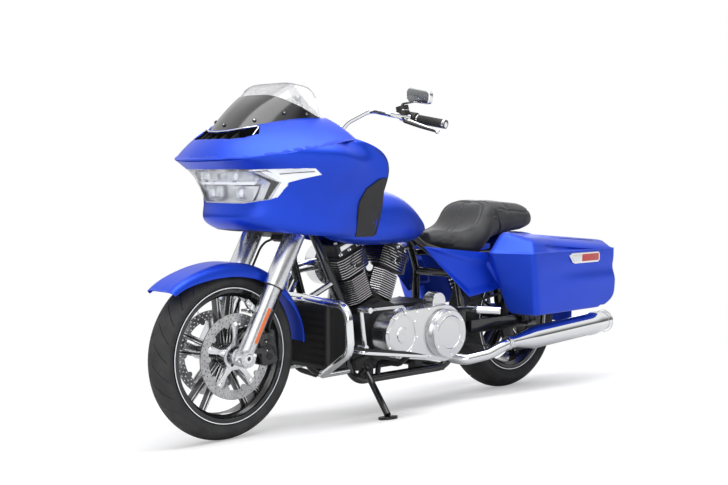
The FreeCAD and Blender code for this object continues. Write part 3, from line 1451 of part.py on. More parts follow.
def bag_outline(level, grow=0.0):
    """The bag's plan at a level below the seam; grow moves the walls inwards when negative."""
    drop, front_back, corner_back, rear_on = level
    narrow = (-drop / size.bag_depth) ** 1.6
    height = size.bag_seam + drop
    inner = size.bag_inner + 8 * narrow
    outer = size.bag_outer - 30 * narrow
    front = size.bag_front - front_back
    corner = size.bag_front - size.bag_corner - corner_back
    rear = size.bag_rear + rear_on
    points = [
        Vector(front + grow, inner - grow, height), Vector(corner + grow, outer + grow, height),
        Vector(rear + 150 - grow, outer - 14 + grow, height), Vector(rear - grow, inner + 26 - grow * 0.5, height),
    ]
    return rounded_outline(points, 26 + grow * 0.5)


def lid_outline(height, grow=0.0):
    """The lid's plan at a height above the seam, drawn in towards its crown."""
    crown = size.lid_taper * (height - size.bag_seam)
    inner = size.bag_inner + 22 * crown
    outer = size.bag_outer - 60 * crown
    front = size.bag_front - 60 * crown
    rear = size.bag_rear + 60 * crown
    points = [
        Vector(front + grow, inner - grow, height),
        Vector(front - size.bag_corner + grow, outer + grow, height),
        Vector(rear + 150 - grow, outer - 14 + grow, height), Vector(rear - grow, inner + 26 - grow * 0.5, height),
    ]
    return rounded_outline(points, 26 + grow * 0.5)


def above_slope(drop):
    """All that lies over the lid's sloping top, lowered by a wall."""
    roof = Part.makeBox(1400, 600, 300, Vector(-1100, -300, -drop))
    turn = Rotation(Vector(0, 1, 0), -size.lid_slope_degrees) * Rotation(Vector(1, 0, 0), -size.lid_fall_degrees)
    roof.Placement = Placement(Vector(size.bag_front - 55, size.bag_inner + 6, size.lid_top), turn)
    return roof


def make_saddlebags():
    outer = loft([bag_outline(level) for level in BAG_LEVELS])
    wall = size.bag_wall
    low = BAG_LEVELS[0]
    inner_levels = [(low[0] + wall,) + low[1:]] + BAG_LEVELS[1:3] + [(1, 0, 0, 0)]
    inner = loft([bag_outline((min(level[0], 0),) + level[1:], -wall) for level in inner_levels])
    box = outer.cut(inner)
    lid_base = size.bag_seam + size.seam_gap
    heights = [lid_base, lid_base + 50, size.lid_top + 4]
    lid_outer = loft([lid_outline(height) for height in heights]).cut(above_slope(0))
    lid_inner = loft([lid_outline(height, -wall) for height in [lid_base - 1, lid_base + 50, size.lid_top + 4]])
    lid = lid_outer.cut(lid_inner.cut(above_slope(wall)))
    for name, shape in (("saddlebag", box), ("saddlebag_lid", lid)):
        left, right = both_sides(shape)
        add_shape(f"{name}_left", left)
        add_shape(f"{name}_right", right)


def make_bag_brackets():
    """Posts from the seat rails out to the inner walls of the bags."""
    bag = loft([bag_outline(level) for level in BAG_LEVELS])
    solids = []
    for x, z in ((236, 622), (-150, 545)):
        post = cross_rod(x, z, size.seat_rail_half, size.bag_inner + 60, 11).cut(bag)
        post = min(post.Solids, key=lambda solid: solid.CenterOfMass.y)
        solids += both_sides(post)
    add_shape("bag_brackets", Part.makeCompound(solids))
    trim("bag_brackets", "main_frame")


# Guards, boards and stand

def make_engine_guard():
    half = [Vector(1249, 28, 507), Vector(1298, 330, 500), Vector(1298, 348, 330), Vector(1240, 126, 214)]
    path = [flipped(point) for point in reversed(half)] + half
    bar = tube(path, size.guard_radius, 60)
    feet = []
    for side in (1, -1):
        feet.append(rod(Vector(1242, side * 130, 214), Vector(1096, side * size.rail_half, 214), 14))
        feet.append(rod(Vector(1252, side * 60, 507), Vector(1168, side * 108, 566), 12))
    add_shape("engine_guard", joined([bar] + feet))
    trim("engine_guard", "main_frame", "oil_cooler")


def make_floorboards():
    board = Part.Face(rounded_outline([
        Vector(1260, 262, 0), Vector(1260, 380, 0), Vector(902, 380, 0), Vector(902, 262, 0)], 34)).extrude(
            Vector(0, 0, 13))
    turn = Rotation(Vector(0, 1, 0), -8.3)
    centre = Vector(1085, 0, 300)
    board.Placement = Placement(centre - turn.multVec(Vector(1085, 0, 6)), turn)
    half = size.rail_half
    over_stand = [
        [Vector(935, half, 176), Vector(935, half + 8, 232), Vector(935, 244, 234), Vector(935, 292, 272)],
        [Vector(1074, half, 200), Vector(1084, half + 14, 246), Vector(1150, 292, 300)],
    ]
    under_pipe = [
        [Vector(935, -half, 160), Vector(935, -214, 172), Vector(935, -292, 272)],
        [Vector(1050, -half, 160), Vector(1060, -214, 172), Vector(1150, -292, 300)],
    ]
    left = joined([board] + [tube(points, 11, 40) for points in over_stand])
    right = joined([board.mirror(Vector(0, 0, 0), Vector(0, 1, 0))] + [tube(points, 11, 40) for points in under_pipe])
    add_shape("floorboards", Part.makeCompound([left, right]))
    trim("floorboards", "main_frame")


def make_foot_controls():
    """Shift lever with its rod on the left, brake pedal on the right."""
    pivot = Vector(1176, 0, 329)
    hub = cross_rod(pivot.x, pivot.z, 266, 306, 11)
    arm = rod(pivot + Vector(0, 298, 0), Vector(1200, 300, 478), 8)
    toe = cross_rod(1200, 478, 292, 352, 11)
    shift = tube([Vector(1196, 296, 466), Vector(1080, 262, 466), Vector(900, 240, 462), Vector(884, 222, 424)], 6, 30)
    brake_hub = cross_rod(pivot.x, pivot.z, -306, -266, 11)
    brake_arm = rod(pivot + Vector(0, -298, 0), Vector(1236, -300, 420), 8)
    brake_pad = block(Vector(1206, -350, 418), Vector(1262, -280, 432))
    left = joined([hub, arm, toe, shift])
    right = joined([brake_hub, brake_arm, brake_pad])
    add_shape("foot_controls", Part.makeCompound([left, right]))
    trim("foot_controls", "floorboards", "primary_cover")


def make_passenger_pegs():
    solids = []
    for side in (1, -1):
        start = Vector(446, side * (size.rail_half + 8), 410)
        knee = Vector(430, side * 224, 410)
        tip = Vector(372, side * 300, 408)
        solids.append(joined([rod(start, knee, 12), rod(knee, tip, 17), Part.makeSphere(17, knee)]))
    add_shape("passenger_pegs", Part.makeCompound(solids))
    trim("passenger_pegs", "main_frame")


def stand_foot_height():
    """The height of the stand's foot, on the leaned machine's ground."""
    lean = math.radians(size.lean_degrees)
    ground = -size.front_crown_radius * (1 - math.cos(lean))
    return (size.stand_foot_half * math.sin(lean) + ground) / math.cos(lean)


def stand_places():
    """The stand's pivot, its foot and the pivot's axis, square to the leg both down and folded."""
    pivot = Vector(size.stand_forward, size.stand_half, size.stand_height)
    foot = Vector(size.stand_foot_forward, size.stand_foot_half, stand_foot_height())
    folded = Vector(size.stand_folded_forward, size.stand_folded_half, size.stand_folded_height)
    return pivot, foot, unit((foot - pivot).cross(folded - pivot))


def make_side_stand():
    pivot, foot, axis = stand_places()
    lean = math.radians(size.lean_degrees)
    up = Vector(0, -math.sin(lean), math.cos(lean))
    pad_disc = Part.makeCylinder(size.stand_foot_radius, size.stand_foot_thickness, foot, up)
    leg = rod(pivot, foot + up * (size.stand_foot_thickness + size.stand_rod_radius * 0.4), size.stand_rod_radius)
    eye = rod(pivot - axis * size.stand_eye_half, pivot + axis * size.stand_eye_half, size.stand_eye_radius)
    solid = joined([leg, pad_disc, eye])
    under = block(Vector(-500, -500, -60), Vector(500, 500, 0))
    under.Placement = Placement(foot, LEAN.Rotation.inverted())
    bore = rod(pivot - axis * 40, pivot + axis * 40, size.stand_pin_radius + size.running_gap)
    add_shape("side_stand", solid.cut(under).cut(bore))


def make_tail():
    """The rear lamp bar on the fender, with a round lamp at each end."""
    turn = math.radians(138)
    reach = size.rear_fender_radius + size.tail_bar_radius
    x = -20 + math.cos(turn) * reach
    z = REAR_AXLE.z + math.sin(turn) * reach
    solids = [cross_rod(x, z, -112, 112, size.tail_bar_radius)]
    for side in (1, -1):
        solids.append(Part.makeCylinder(27, 44, Vector(x + 12, side * 128, z), Vector(-1, 0, 0)))
    add_shape("tail_lamps", joined(solids))
    trim("tail_lamps", "rear_fender")


def build():
    make_wheels()
    make_fork_leg("left", 1)
    make_fork_leg("right", -1)
    make_yokes()
    make_front_axle()
    make_front_calipers()
    make_front_fender()
    make_handlebar()
    make_controls()
    make_brake_hoses()
    make_mirrors()
    lamp = make_fairing_pieces()
    make_frame(lamp)
    make_swingarm()
    make_shocks()
    make_rear_caliper()
    make_cylinder("front_cylinder", 1)
    make_cylinder("rear_cylinder", -1)
    make_rocker_covers()
    make_engine_case()
    make_primary_cover()
    make_cam_cover()
    make_air_cleaner()
    make_oil_cooler()
    make_belt()
    make_exhaust()
    make_mufflers()
    make_rear_fender()
    make_tank()
    make_seat()
    make_side_covers()
    make_saddlebags()
    make_bag_brackets()
    make_engine_guard()
    make_floorboards()
    make_foot_controls()
    make_passenger_pegs()
    make_side_stand()
    make_tail()
    doc.recompute()


def seat_origin():
    """Moves all pieces so that the origin is the bottom centre of their bounding box."""
    box = FreeCAD.BoundBox()
    for piece in pieces.values():
        box.add(piece.Shape.optimalBoundingBox(False))
    shift = Vector(-(box.XMin + box.XMax) / 2, -(box.YMin + box.YMax) / 2, -box.ZMin)
    for piece, local in leaned:
        piece.Placement = Placement(shift, Rotation()) * LEAN * local
    doc.recompute()


def check_and_write():
    faults = []
    for item in doc.Objects:
        if "Invalid" in item.State or "Error" in item.State:
            faults.append(f"{item.Name} has state {item.State}")
    for label, piece in pieces.items():
        if piece.Shape.isNull() or not piece.Shape.isValid():
            faults.append(f"{label} has no valid shape")
    if faults:
        raise RuntimeError("; ".join(faults))
    for label, piece in pieces.items():
        piece.Shape.exportStep(f"parts/{label}.step")
        print(label, len(piece.Shape.Solids), round(piece.Shape.Volume / 1000))


build()
seat_origin()
check_and_write()
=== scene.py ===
import json
import math

import bmesh
import bpy
import numpy as np
from mathutils import Matrix, Vector
from mathutils.bvhtree import BVHTree

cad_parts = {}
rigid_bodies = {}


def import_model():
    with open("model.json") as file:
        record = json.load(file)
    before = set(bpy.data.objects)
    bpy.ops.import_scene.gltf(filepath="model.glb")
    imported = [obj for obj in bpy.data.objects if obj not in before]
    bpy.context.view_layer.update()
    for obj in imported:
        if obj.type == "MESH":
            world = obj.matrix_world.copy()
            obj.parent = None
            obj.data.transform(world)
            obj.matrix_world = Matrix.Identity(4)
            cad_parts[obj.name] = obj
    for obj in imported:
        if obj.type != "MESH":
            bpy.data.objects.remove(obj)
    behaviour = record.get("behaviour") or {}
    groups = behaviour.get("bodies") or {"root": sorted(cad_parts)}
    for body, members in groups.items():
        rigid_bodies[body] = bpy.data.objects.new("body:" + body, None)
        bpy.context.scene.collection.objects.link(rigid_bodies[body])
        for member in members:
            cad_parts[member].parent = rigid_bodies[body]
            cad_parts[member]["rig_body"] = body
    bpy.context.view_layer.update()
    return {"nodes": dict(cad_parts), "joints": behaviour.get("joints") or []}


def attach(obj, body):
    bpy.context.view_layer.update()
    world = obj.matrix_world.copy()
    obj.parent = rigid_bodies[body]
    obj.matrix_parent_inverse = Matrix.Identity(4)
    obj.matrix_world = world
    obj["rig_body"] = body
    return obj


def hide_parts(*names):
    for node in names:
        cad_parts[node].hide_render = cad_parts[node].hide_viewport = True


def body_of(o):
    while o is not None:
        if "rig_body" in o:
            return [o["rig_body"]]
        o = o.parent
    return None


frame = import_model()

bl_info = {
    "name": "Touring Cruiser Looks",
    "version": (1, 0, 0),
    "blender": (4, 5, 0),
    "location": "View3D > Sidebar > Cruiser",
    "description": "Dresses the packed touring cruiser with paint, chrome, rubber and leather",
    "category": "Object",
}

# The stance: bike millimetres (x forward, y left, z up from the ground, x = 0 at the rear axle)
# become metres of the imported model, which leans on its side stand.

REAR_RADIUS = 327.6
JOINTS = {joint["name"]: joint for joint in frame["joints"]}
FORWARD = Vector((1, 0, 0))
ACROSS = Vector(JOINTS["rear_wheel_spin"]["axis"])
UPRIGHT = FORWARD.cross(ACROSS)
GROUND = Vector(JOINTS["rear_wheel_spin"]["pos_m"]) - UPRIGHT * (REAR_RADIUS / 1000)
STANCE = np.array([FORWARD * 0.001, ACROSS * 0.001, UPRIGHT * 0.001]).T
FRONT_AXLE = np.array([1625.0, 0, 319.3])
REAR_AXLE = np.array([0, 0, REAR_RADIUS])


def stand(points):
    """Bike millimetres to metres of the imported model."""
    return np.asarray(points, float) @ STANCE.T + np.array(GROUND)


# Meshes

def cubic(points, count):
    """Stations on a smooth curve through points, which may be whole rows."""
    points = np.asarray(points, float)
    flat = points.reshape(len(points), -1)
    steps = np.linalg.norm(np.diff(flat, axis=0), axis=1) + 1e-9
    knots = np.concatenate([[0], np.cumsum(steps)])
    size = len(flat)
    left = np.eye(size)
    right = np.zeros_like(flat)
    for i in range(1, size - 1):
        a, b = steps[i - 1], steps[i]
        left[i, i - 1:i + 2] = a, 2 * (a + b), b
        right[i] = 6 * ((flat[i + 1] - flat[i]) / b - (flat[i] - flat[i - 1]) / a)
    bend = np.linalg.solve(left, right)
    t = np.linspace(0, knots[-1], count)
    i = np.clip(np.searchsorted(knots, t, side="right") - 1, 0, size - 2)
    h, u = steps[i][:, None], (t - knots[i])[:, None]
    p, q, m, n = flat[i], flat[i + 1], bend[i], bend[i + 1]
    fine = p + u * ((q - p) / h - h * (2 * m + n) / 6) + u * u * m / 2 + u ** 3 * (n - m) / (6 * h)
    return fine.reshape((count,) + points.shape[1:])


def surface(rows, across, along):
    """A fine grid through a coarse one."""
    return cubic(np.array([cubic(row, across) for row in rows]), along)


def unit(ways):
    """Directions of length 1."""
    return ways / np.linalg.norm(ways, axis=-1, keepdims=True)


def square_to(way):
    """A direction square to another."""
    return unit(np.cross(way, (0, 0, 1.0) if abs(way[2]) < 0.9 else (1.0, 0, 0)))


def circle(first, second, steps):
    """Spokes round the circle that two directions span."""
    turns = np.linspace(0, 2 * math.pi, steps, endpoint=False)
    return np.cos(turns)[:, None] * first + np.sin(turns)[:, None] * second


def normals_of(rows):
    """The normals of a grid, longer where its cells are larger."""
    return np.cross(np.gradient(rows, axis=0), np.gradient(rows, axis=1))


def run_of(line):
    """How far along a line each of its points is."""
    return np.concatenate([[0], np.cumsum(np.linalg.norm(np.diff(line, axis=0), axis=1))])


def spaced(line, count):
    """Evenly spaced points on a line."""
    line = np.asarray(line, float)
    reach = run_of(line)
    at = np.linspace(0, reach[-1], count)
    return np.stack([np.interp(at, reach, line[:, axis]) for axis in range(line.shape[1])], 1)


class Shell:
    """Collects the points and faces of one piece, in bike millimetres."""

    def __init__(self):
        self.points, self.faces, self.total = [], [], 0

    def spots(self):
        """All points in one array."""
        return np.concatenate(self.points)

    def add(self, points, faces):
        """Points, and faces that count them from 0."""
        points = np.asarray(points, float).reshape(-1, 3)
        self.points.append(points)
        self.faces += [tuple(i + self.total for i in face) for face in faces]
        self.total += len(points)
        return self

    def grid(self, rows, loop_across=False, loop_along=False, caps=False):
        """A sheet through rows of points, closed round either way, its ends capped."""
        rows = np.asarray(rows, float)
        along, across = rows.shape[:2]
        faces = []
        for i in range(along if loop_along else along - 1):
            for j in range(across if loop_across else across - 1):
                k, m = (i + 1) % along, (j + 1) % across
                faces.append((i * across + j, i * across + m, k * across + m, k * across + j))
        if caps:
            faces.append(tuple(reversed(range(across))))
            faces.append(tuple((along - 1) * across + j for j in range(across)))
        return self.add(rows, faces)

    def wall(self, rows, thickness):
        """A sheet with a wall towards its back, closed round its edge."""
        normal = normals_of(rows)
        normal /= np.linalg.norm(normal, axis=2, keepdims=True) + 1e-12
        back = rows - normal * thickness
        along, across = rows.shape[:2]
        count = along * across
        ring = [(0, j) for j in range(across)] + [(i, across - 1) for i in range(1, along)]
        ring += [(along - 1, j) for j in range(across - 2, -1, -1)]
        ring += [(i, 0) for i in range(along - 2, 0, -1)]
        ids = np.arange(count).reshape(along, across)
        faces = []
        for i in range(along - 1):
            for j in range(across - 1):
                a, b, c, d = ids[i, j], ids[i, j + 1], ids[i + 1, j + 1], ids[i + 1, j]
                faces += [(a, d, c, b), (a + count, b + count, c + count, d + count)]
        for n, (i, j) in enumerate(ring):
            k, m = ring[(n + 1) % len(ring)]
            a, b = ids[i, j], ids[k, m]
            faces.append((a, b, b + count, a + count))
        return self.add(np.concatenate([rows.reshape(-1, 3), back.reshape(-1, 3)]), faces)

    def revolve(self, profile, centre, axis=(0, 1, 0), steps=64):
        """A section of (distance along the axis, radius) pairs turned round it."""
        axis = unit(np.asarray(axis, float))
        first = square_to(axis)
        spokes = circle(first, np.cross(axis, first), steps)
        profile = np.asarray(profile, float)
        rows = np.asarray(centre, float) + profile[None, :, :1] * axis
        return self.grid(rows + profile[None, :, 1:] * spokes[:, None, :], True, True)

    def rod(self, start, end, radius, steps=20, end_radius=None):
        """A round rod, which may taper."""
        start, end = np.asarray(start, float), np.asarray(end, float)
        reach = np.linalg.norm(end - start)
        top = radius if end_radius is None else end_radius
        section = [(0, 0.01), (0, radius), (reach, top), (reach, 0.01)]
        return self.revolve(section, start, end - start, steps)

    def tube(self, path, radius, steps=16):
        """A round tube along a fine path; radius may change along it."""
        path = np.asarray(path, float)
        ahead = unit(np.gradient(path, axis=0))
        side = square_to(ahead[0])
        rows = []
        for spot, way, thick in zip(path, ahead, np.broadcast_to(radius, len(path))):
            side = unit(side - way * np.dot(side, way))
            rows.append(spot + thick * circle(side, np.cross(way, side), steps))
        return self.grid(rows, loop_across=True, caps=True)

    def prism(self, outline, shift):
        """A flat outline pushed out along shift."""
        outline = np.asarray(outline, float)
        count = len(outline)
        faces = [tuple(range(count)), tuple(reversed(range(count, 2 * count)))]
        faces += [(i, (i + 1) % count, (i + 1) % count + count, i + count) for i in range(count)]
        return self.add(np.concatenate([outline, outline + np.asarray(shift, float)]), faces)


def bent(points, bend, per_turn=8):
    """A path with round corners through coarse points."""
    points = [np.asarray(p, float) for p in points]
    path = [points[0]]
    for before, here, after in zip(points, points[1:], points[2:]):
        a, b = before - here, after - here
        la, lb = np.linalg.norm(a), np.linalg.norm(b)
        a, b = a / la, b / lb
        half = math.acos(max(-1, min(1, float(np.dot(a, b))))) / 2
        cut = min(bend / math.tan(half), la * 0.48, lb * 0.48)
        start, end = here + a * cut, here + b * cut
        for t in np.linspace(0, 1, per_turn):
            path.append((1 - t) ** 2 * start + 2 * t * (1 - t) * here + t * t * end)
    path.append(points[-1])
    return np.array(path)


SHARP = 32  # degrees between two faces from which their edge stays sharp


def new_object(name, data):
    """An object at the origin of the scene."""
    item = bpy.data.objects.new(name, data)
    bpy.context.scene.collection.objects.link(item)
    return item


def outward_mesh(name, points, faces):
    """A mesh whose faces look outwards."""
    mesh = bpy.data.meshes.new(name)
    mesh.from_pydata(points.tolist(), [], faces)
    work = bmesh.new()
    work.from_mesh(mesh)
    bmesh.ops.recalc_face_normals(work, faces=work.faces)
    work.to_mesh(mesh)
    work.free()
    return mesh


def evaluated(item):
    """The mesh that an object's modifiers give."""
    graph = bpy.context.evaluated_depsgraph_get()
    return bpy.data.meshes.new_from_object(item.evaluated_get(graph), depsgraph=graph)


def add_object(name, mesh, body, material, replaces=()):
    """Makes a mesh a piece of a body."""
    item = new_object(name, mesh)
    mesh.materials.append(MATERIALS[material])
    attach(item, body)
    if replaces:
        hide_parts(*replaces)
    return item


def shade(mesh, sharp):
    """Smooth faces with edges sharp above an angle."""
    mesh.polygons.foreach_set("use_smooth", [True] * len(mesh.polygons))
    mesh.set_sharp_from_angle(angle=math.radians(sharp))


def break_corners(work, bevel, sharp, segments):
    """Rounds each edge whose faces turn by more than an angle."""
    limit = math.radians(sharp)
    corners = [e for e in work.edges if len(e.link_faces) == 2 and e.calc_face_angle(0) > limit]
    bmesh.ops.bevel(work, geom=corners, offset=bevel / 1000, segments=segments, profile=0.6,
                    affect="EDGES", clamp_overlap=True)


def finish(name, shell, body, material, replaces=(), sharp=SHARP, bevel=0.0, segments=2):
    """Turns a shell into a piece on its body."""
    mesh = bpy.data.meshes.new(name)
    mesh.from_pydata(stand(shell.spots()).tolist(), [], shell.faces)
    work = bmesh.new()
    work.from_mesh(mesh)
    bmesh.ops.remove_doubles(work, verts=work.verts, dist=1e-5)
    bmesh.ops.dissolve_degenerate(work, dist=1e-6, edges=work.edges)
    bmesh.ops.recalc_face_normals(work, faces=work.faces)
    if bevel:
        break_corners(work, bevel, sharp, segments)
    work.to_mesh(mesh)
    work.free()
    shade(mesh, sharp)
    return add_object(name, mesh, body, material, replaces)


def body_of_node(node):
    """The body that a node rides."""
    return body_of(frame["nodes"][node])[0]


def dress(node, material, bevel, sharp=28, segments=2, cutters=()):
    """A node's own shape with its flats joined, its corners broken and its rounds smooth."""
    mesh = frame["nodes"][node].data.copy()
    mesh.materials.clear()
    work = bmesh.new()
    work.from_mesh(mesh)
    bmesh.ops.remove_doubles(work, verts=work.verts, dist=2e-6)
    if cutters:
        work.to_mesh(mesh)
        mesh = carved(mesh, cutters)
        mesh.materials.clear()
        work.clear()
        work.from_mesh(mesh)
    mesh.name = f"{node}_skin"
    bmesh.ops.dissolve_limit(work, angle_limit=math.radians(0.6), verts=work.verts, edges=work.edges)
    if bevel:
        break_corners(work, bevel, sharp, segments)
    for face in work.faces:
        face.material_index = 0
    work.to_mesh(mesh)
    work.free()
    shade(mesh, sharp)
    return add_object(f"{node}_skin", mesh, body_of_node(node), material, [node])


# Materials

def add_node(tree, kind, **inputs):
    """A node of a tree with some of its inputs set."""
    node = tree.nodes.new(kind)
    for name, value in inputs.items():
        node.inputs[name.replace("_", " ")].default_value = value
    return node


def join(tree, *pairs):
    """Links outputs to inputs."""
    for source, target in pairs:
        tree.links.new(source, target)


def worked_out(tree, operation, *values):
    """The result of a sum on sockets and numbers."""
    node = tree.nodes.new("ShaderNodeMath")
    node.operation = operation
    for socket, value in zip(node.inputs, values):
        if isinstance(value, float):
            socket.default_value = value
        else:
            tree.links.new(value, socket)
    return node.outputs[0]


def noise(tree, scale, detail, stretch=(1, 1, 1)):
    """Noise on the piece's own coordinates."""
    spot = add_node(tree, "ShaderNodeTexCoord")
    turn = add_node(tree, "ShaderNodeMapping", Scale=stretch)
    field = add_node(tree, "ShaderNodeTexNoise", Scale=scale, Detail=detail)
    join(tree, (spot.outputs["Object"], turn.inputs["Vector"]),
         (turn.outputs["Vector"], field.inputs["Vector"]))
    return field.outputs[0]


def vary(tree, surface_node, low, high, *pattern):
    """Lets noise move the roughness between two values."""
    spread = add_node(tree, "ShaderNodeMapRange", To_Min=low, To_Max=high)
    join(tree, (noise(tree, *pattern), spread.inputs["Value"]),
         (spread.outputs["Result"], surface_node.inputs["Roughness"]))


def tint(tree, surface_node, first, second, low, high, *pattern):
    """Lets noise blend two colours."""
    ramp = tree.nodes.new("ShaderNodeValToRGB")
    for stop, place, colour in zip(ramp.color_ramp.elements, (low, high), (first, second)):
        stop.position, stop.color = place, (*colour, 1)
    join(tree, (noise(tree, *pattern), ramp.inputs["Fac"]),
         (ramp.outputs["Color"], surface_node.inputs["Base Color"]))


def emboss(tree, surface_node, depth, strength, field):
    """Raises the surface by a field, depth in millimetres."""
    node = add_node(tree, "ShaderNodeBump", Strength=strength, Distance=depth / 1000)
    join(tree, (field, node.inputs["Height"]), (node.outputs["Normal"], surface_node.inputs["Normal"]))


MATERIALS = {}


# Each plain finish: name, base colour, metallic, roughness and more. Wear moves the roughness between two
# values, tints blend two colours between two levels, relief has a depth in millimetres and a strength; each
# ends with the scale, detail and stretch of its noise.

FINISHES = {
    "chrome": ("chrome", (0.82, 0.83, 0.84), 1.0, 0.06, {"wear": (0.04, 0.11, 40, 3)}),
    "cover": ("cover_silver", (0.74, 0.75, 0.76), 1.0, 0.22, {"wear": (0.16, 0.3, 220, 4, (0.2, 1, 1))}),
    "fork": ("fork_aluminium", (0.7, 0.71, 0.73), 1.0, 0.26, {"wear": (0.24, 0.3, 90, 2, (1, 1, 0.3))}),
    "machined": ("machined_edge", (0.8, 0.8, 0.82), 1.0, 0.2, {"wear": (0.14, 0.28, 500, 3)}),
    "mirror": ("mirror_glass", (0.86, 0.88, 0.9), 1.0, 0.02, {"wear": (0.01, 0.04, 30, 2)}),
    "disc": ("disc_steel", (0.55, 0.55, 0.56), 1.0, 0.3, {
        "wear": (0.24, 0.42, 260, 4), "tints": ((0.42, 0.42, 0.43), (0.6, 0.6, 0.6), 0.35, 0.65, 30, 3)}),
    "gloss_black": ("gloss_black", (0.012, 0.012, 0.013), 0.0, 0.18, {
        "wear": (0.14, 0.26, 60, 3), "Coat_Weight": 0.5, "Coat_Roughness": 0.08}),
    "satin_black": ("satin_black", (0.02, 0.02, 0.021), 0.1, 0.42, {
        "wear": (0.36, 0.52, 350, 4), "relief": (0.08, 0.3, 1400, 2)}),
    "engine_black": ("engine_black", (0.022, 0.022, 0.024), 0.25, 0.4, {
        "wear": (0.34, 0.5, 500, 4), "relief": (0.15, 0.4, 900, 3)}),
    "plastic": ("black_plastic", (0.018, 0.018, 0.019), 0.0, 0.55, {
        "wear": (0.48, 0.6, 25, 2), "relief": (0.1, 0.4, 1600, 2)}),
    "rubber": ("tyre_rubber", (0.03, 0.03, 0.031), 0.0, 0.68, {
        "tints": ((0.024, 0.024, 0.025), (0.04, 0.04, 0.041), 0.35, 0.65, 18, 4),
        "relief": (0.12, 0.4, 700, 3)}),
    "thread": ("seat_thread", (0.075, 0.075, 0.08), 0.0, 0.7, {"relief": (0.2, 0.5, 1500, 2)}),
    "smoked": ("smoked_screen", (0.2, 0.2, 0.21), 0.0, 0.04, {
        "wear": (0.03, 0.06, 12, 2), "Transmission_Weight": 0.9, "IOR": 1.12, "Alpha": 0.62,
        "Coat_Weight": 0.4}),
    "lens": ("clear_lens", (0.95, 0.96, 0.98), 0.0, 0.04, {
        "wear": (0.03, 0.06, 20, 2), "Transmission_Weight": 0.9, "IOR": 1.15, "Alpha": 0.35}),
    "reflector": ("lamp_reflector", (0.78, 0.8, 0.83), 0.85, 0.25, {"wear": (0.18, 0.32, 400, 2)}),
    # The lamp white glows faintly through its emission; on the rim lines and dial ticks, which are no lamps,
    # that glow is painted light.
    "white": ("lamp_white_and_painted_glow", (0.85, 0.87, 0.9), 0.0, 0.3, {
        "wear": (0.25, 0.4, 80, 2), "Emission_Color": (0.9, 0.93, 1, 1), "Emission_Strength": 0.25}),
    "red": ("red_lens", (0.55, 0.012, 0.01), 0.0, 0.12, {"wear": (0.08, 0.2, 300, 2), "Coat_Weight": 0.6}),
    "amber": ("amber_reflector", (0.9, 0.16, 0.012), 0.0, 0.16, {
        "wear": (0.1, 0.25, 500, 2), "Coat_Weight": 0.6}),
}


def make_finish(key, name, base, metallic, roughness, wear=None, tints=None, relief=None, **sockets):
    """A Principled finish whose constants stand on the shader's own sockets."""
    material = bpy.data.materials.new(name)
    material.use_nodes = True
    tree = material.node_tree
    surface_node = tree.nodes["Principled BSDF"]
    constants = {"Base_Color": (*base, 1), "Metallic": metallic, "Roughness": roughness, **sockets}
    for socket, value in constants.items():
        surface_node.inputs[socket.replace("_", " ")].default_value = value
    if wear:
        vary(tree, surface_node, *wear)
    if tints:
        tint(tree, surface_node, *tints)
    if relief:
        emboss(tree, surface_node, *relief[:2], noise(tree, *relief[2:]))
    MATERIALS[key] = material
    return tree, surface_node


def make_materials(looks):
    """Makes every finish; the paint's colour is the user's."""
    paint = tuple(looks.paint)
    deep = tuple(value * 0.82 for value in paint)
    make_finish("blue", "satin_blue", paint, 0.55, 0.4, (0.36, 0.44, 900, 2),
                (deep, paint, 0.3, 0.6, 3, 2), Coat_Weight=0.14, Coat_Roughness=0.3)
    for key, (name, base, metallic, roughness, more) in FINISHES.items():
        make_finish(key, name, base, metallic, roughness, **more)
    tree, surface_node = make_finish(
        "leather", "seat_cover", (0.026, 0.0265, 0.028), 0.0, 0.46, (0.42, 0.58, 60, 3),
        ((0.02, 0.0205, 0.022), (0.034, 0.0345, 0.037), 0.35, 0.65, 9, 4), Sheen_Weight=0.08)
    spot = add_node(tree, "ShaderNodeTexCoord")
    grain = add_node(tree, "ShaderNodeTexVoronoi", Scale=520.0)
    join(tree, (spot.outputs["Object"], grain.inputs["Vector"]))
    emboss(tree, surface_node, 0.35, 0.5, grain.outputs[0])


# Nodes that only get a finish: material, broken corner in millimetres

DRESS = {
    "front_rim": ("gloss_black", 1.5), "rear_rim": ("gloss_black", 1.5),
    "rear_sprocket": ("satin_black", 0.8), "front_axle": ("chrome", 1),
    "front_calipers": ("gloss_black", 3), "front_fender": ("blue", 0.8),
    "main_frame": ("gloss_black", 0.8), "swingarm": ("gloss_black", 3), "rear_caliper": ("gloss_black", 3),
    "engine_case": ("engine_black", 4), "rear_fender": ("blue", 0.8), "bag_brackets": ("gloss_black", 1),
    "side_stand": ("gloss_black", 1.5), "brake_hoses": ("rubber", 0),
}


# Repeated details

def arc(start, end, radius, turn, count):
    """Points on a flat arc; turn is 1 where its centre lies left of the chord, else -1."""
    start, end = np.array(start, float), np.array(end, float)
    chord = end - start
    reach = np.linalg.norm(chord)
    side = np.array([-chord[1], chord[0]]) / reach
    centre = (start + end) / 2 + side * math.sqrt(radius ** 2 - reach ** 2 / 4) * turn
    first = math.atan2(start[1] - centre[1], start[0] - centre[0])
    turns = first + np.linspace(0, 2 * math.asin(reach / 2 / radius) * turn, count)
    return centre + radius * np.stack([np.cos(turns), np.sin(turns)], 1)


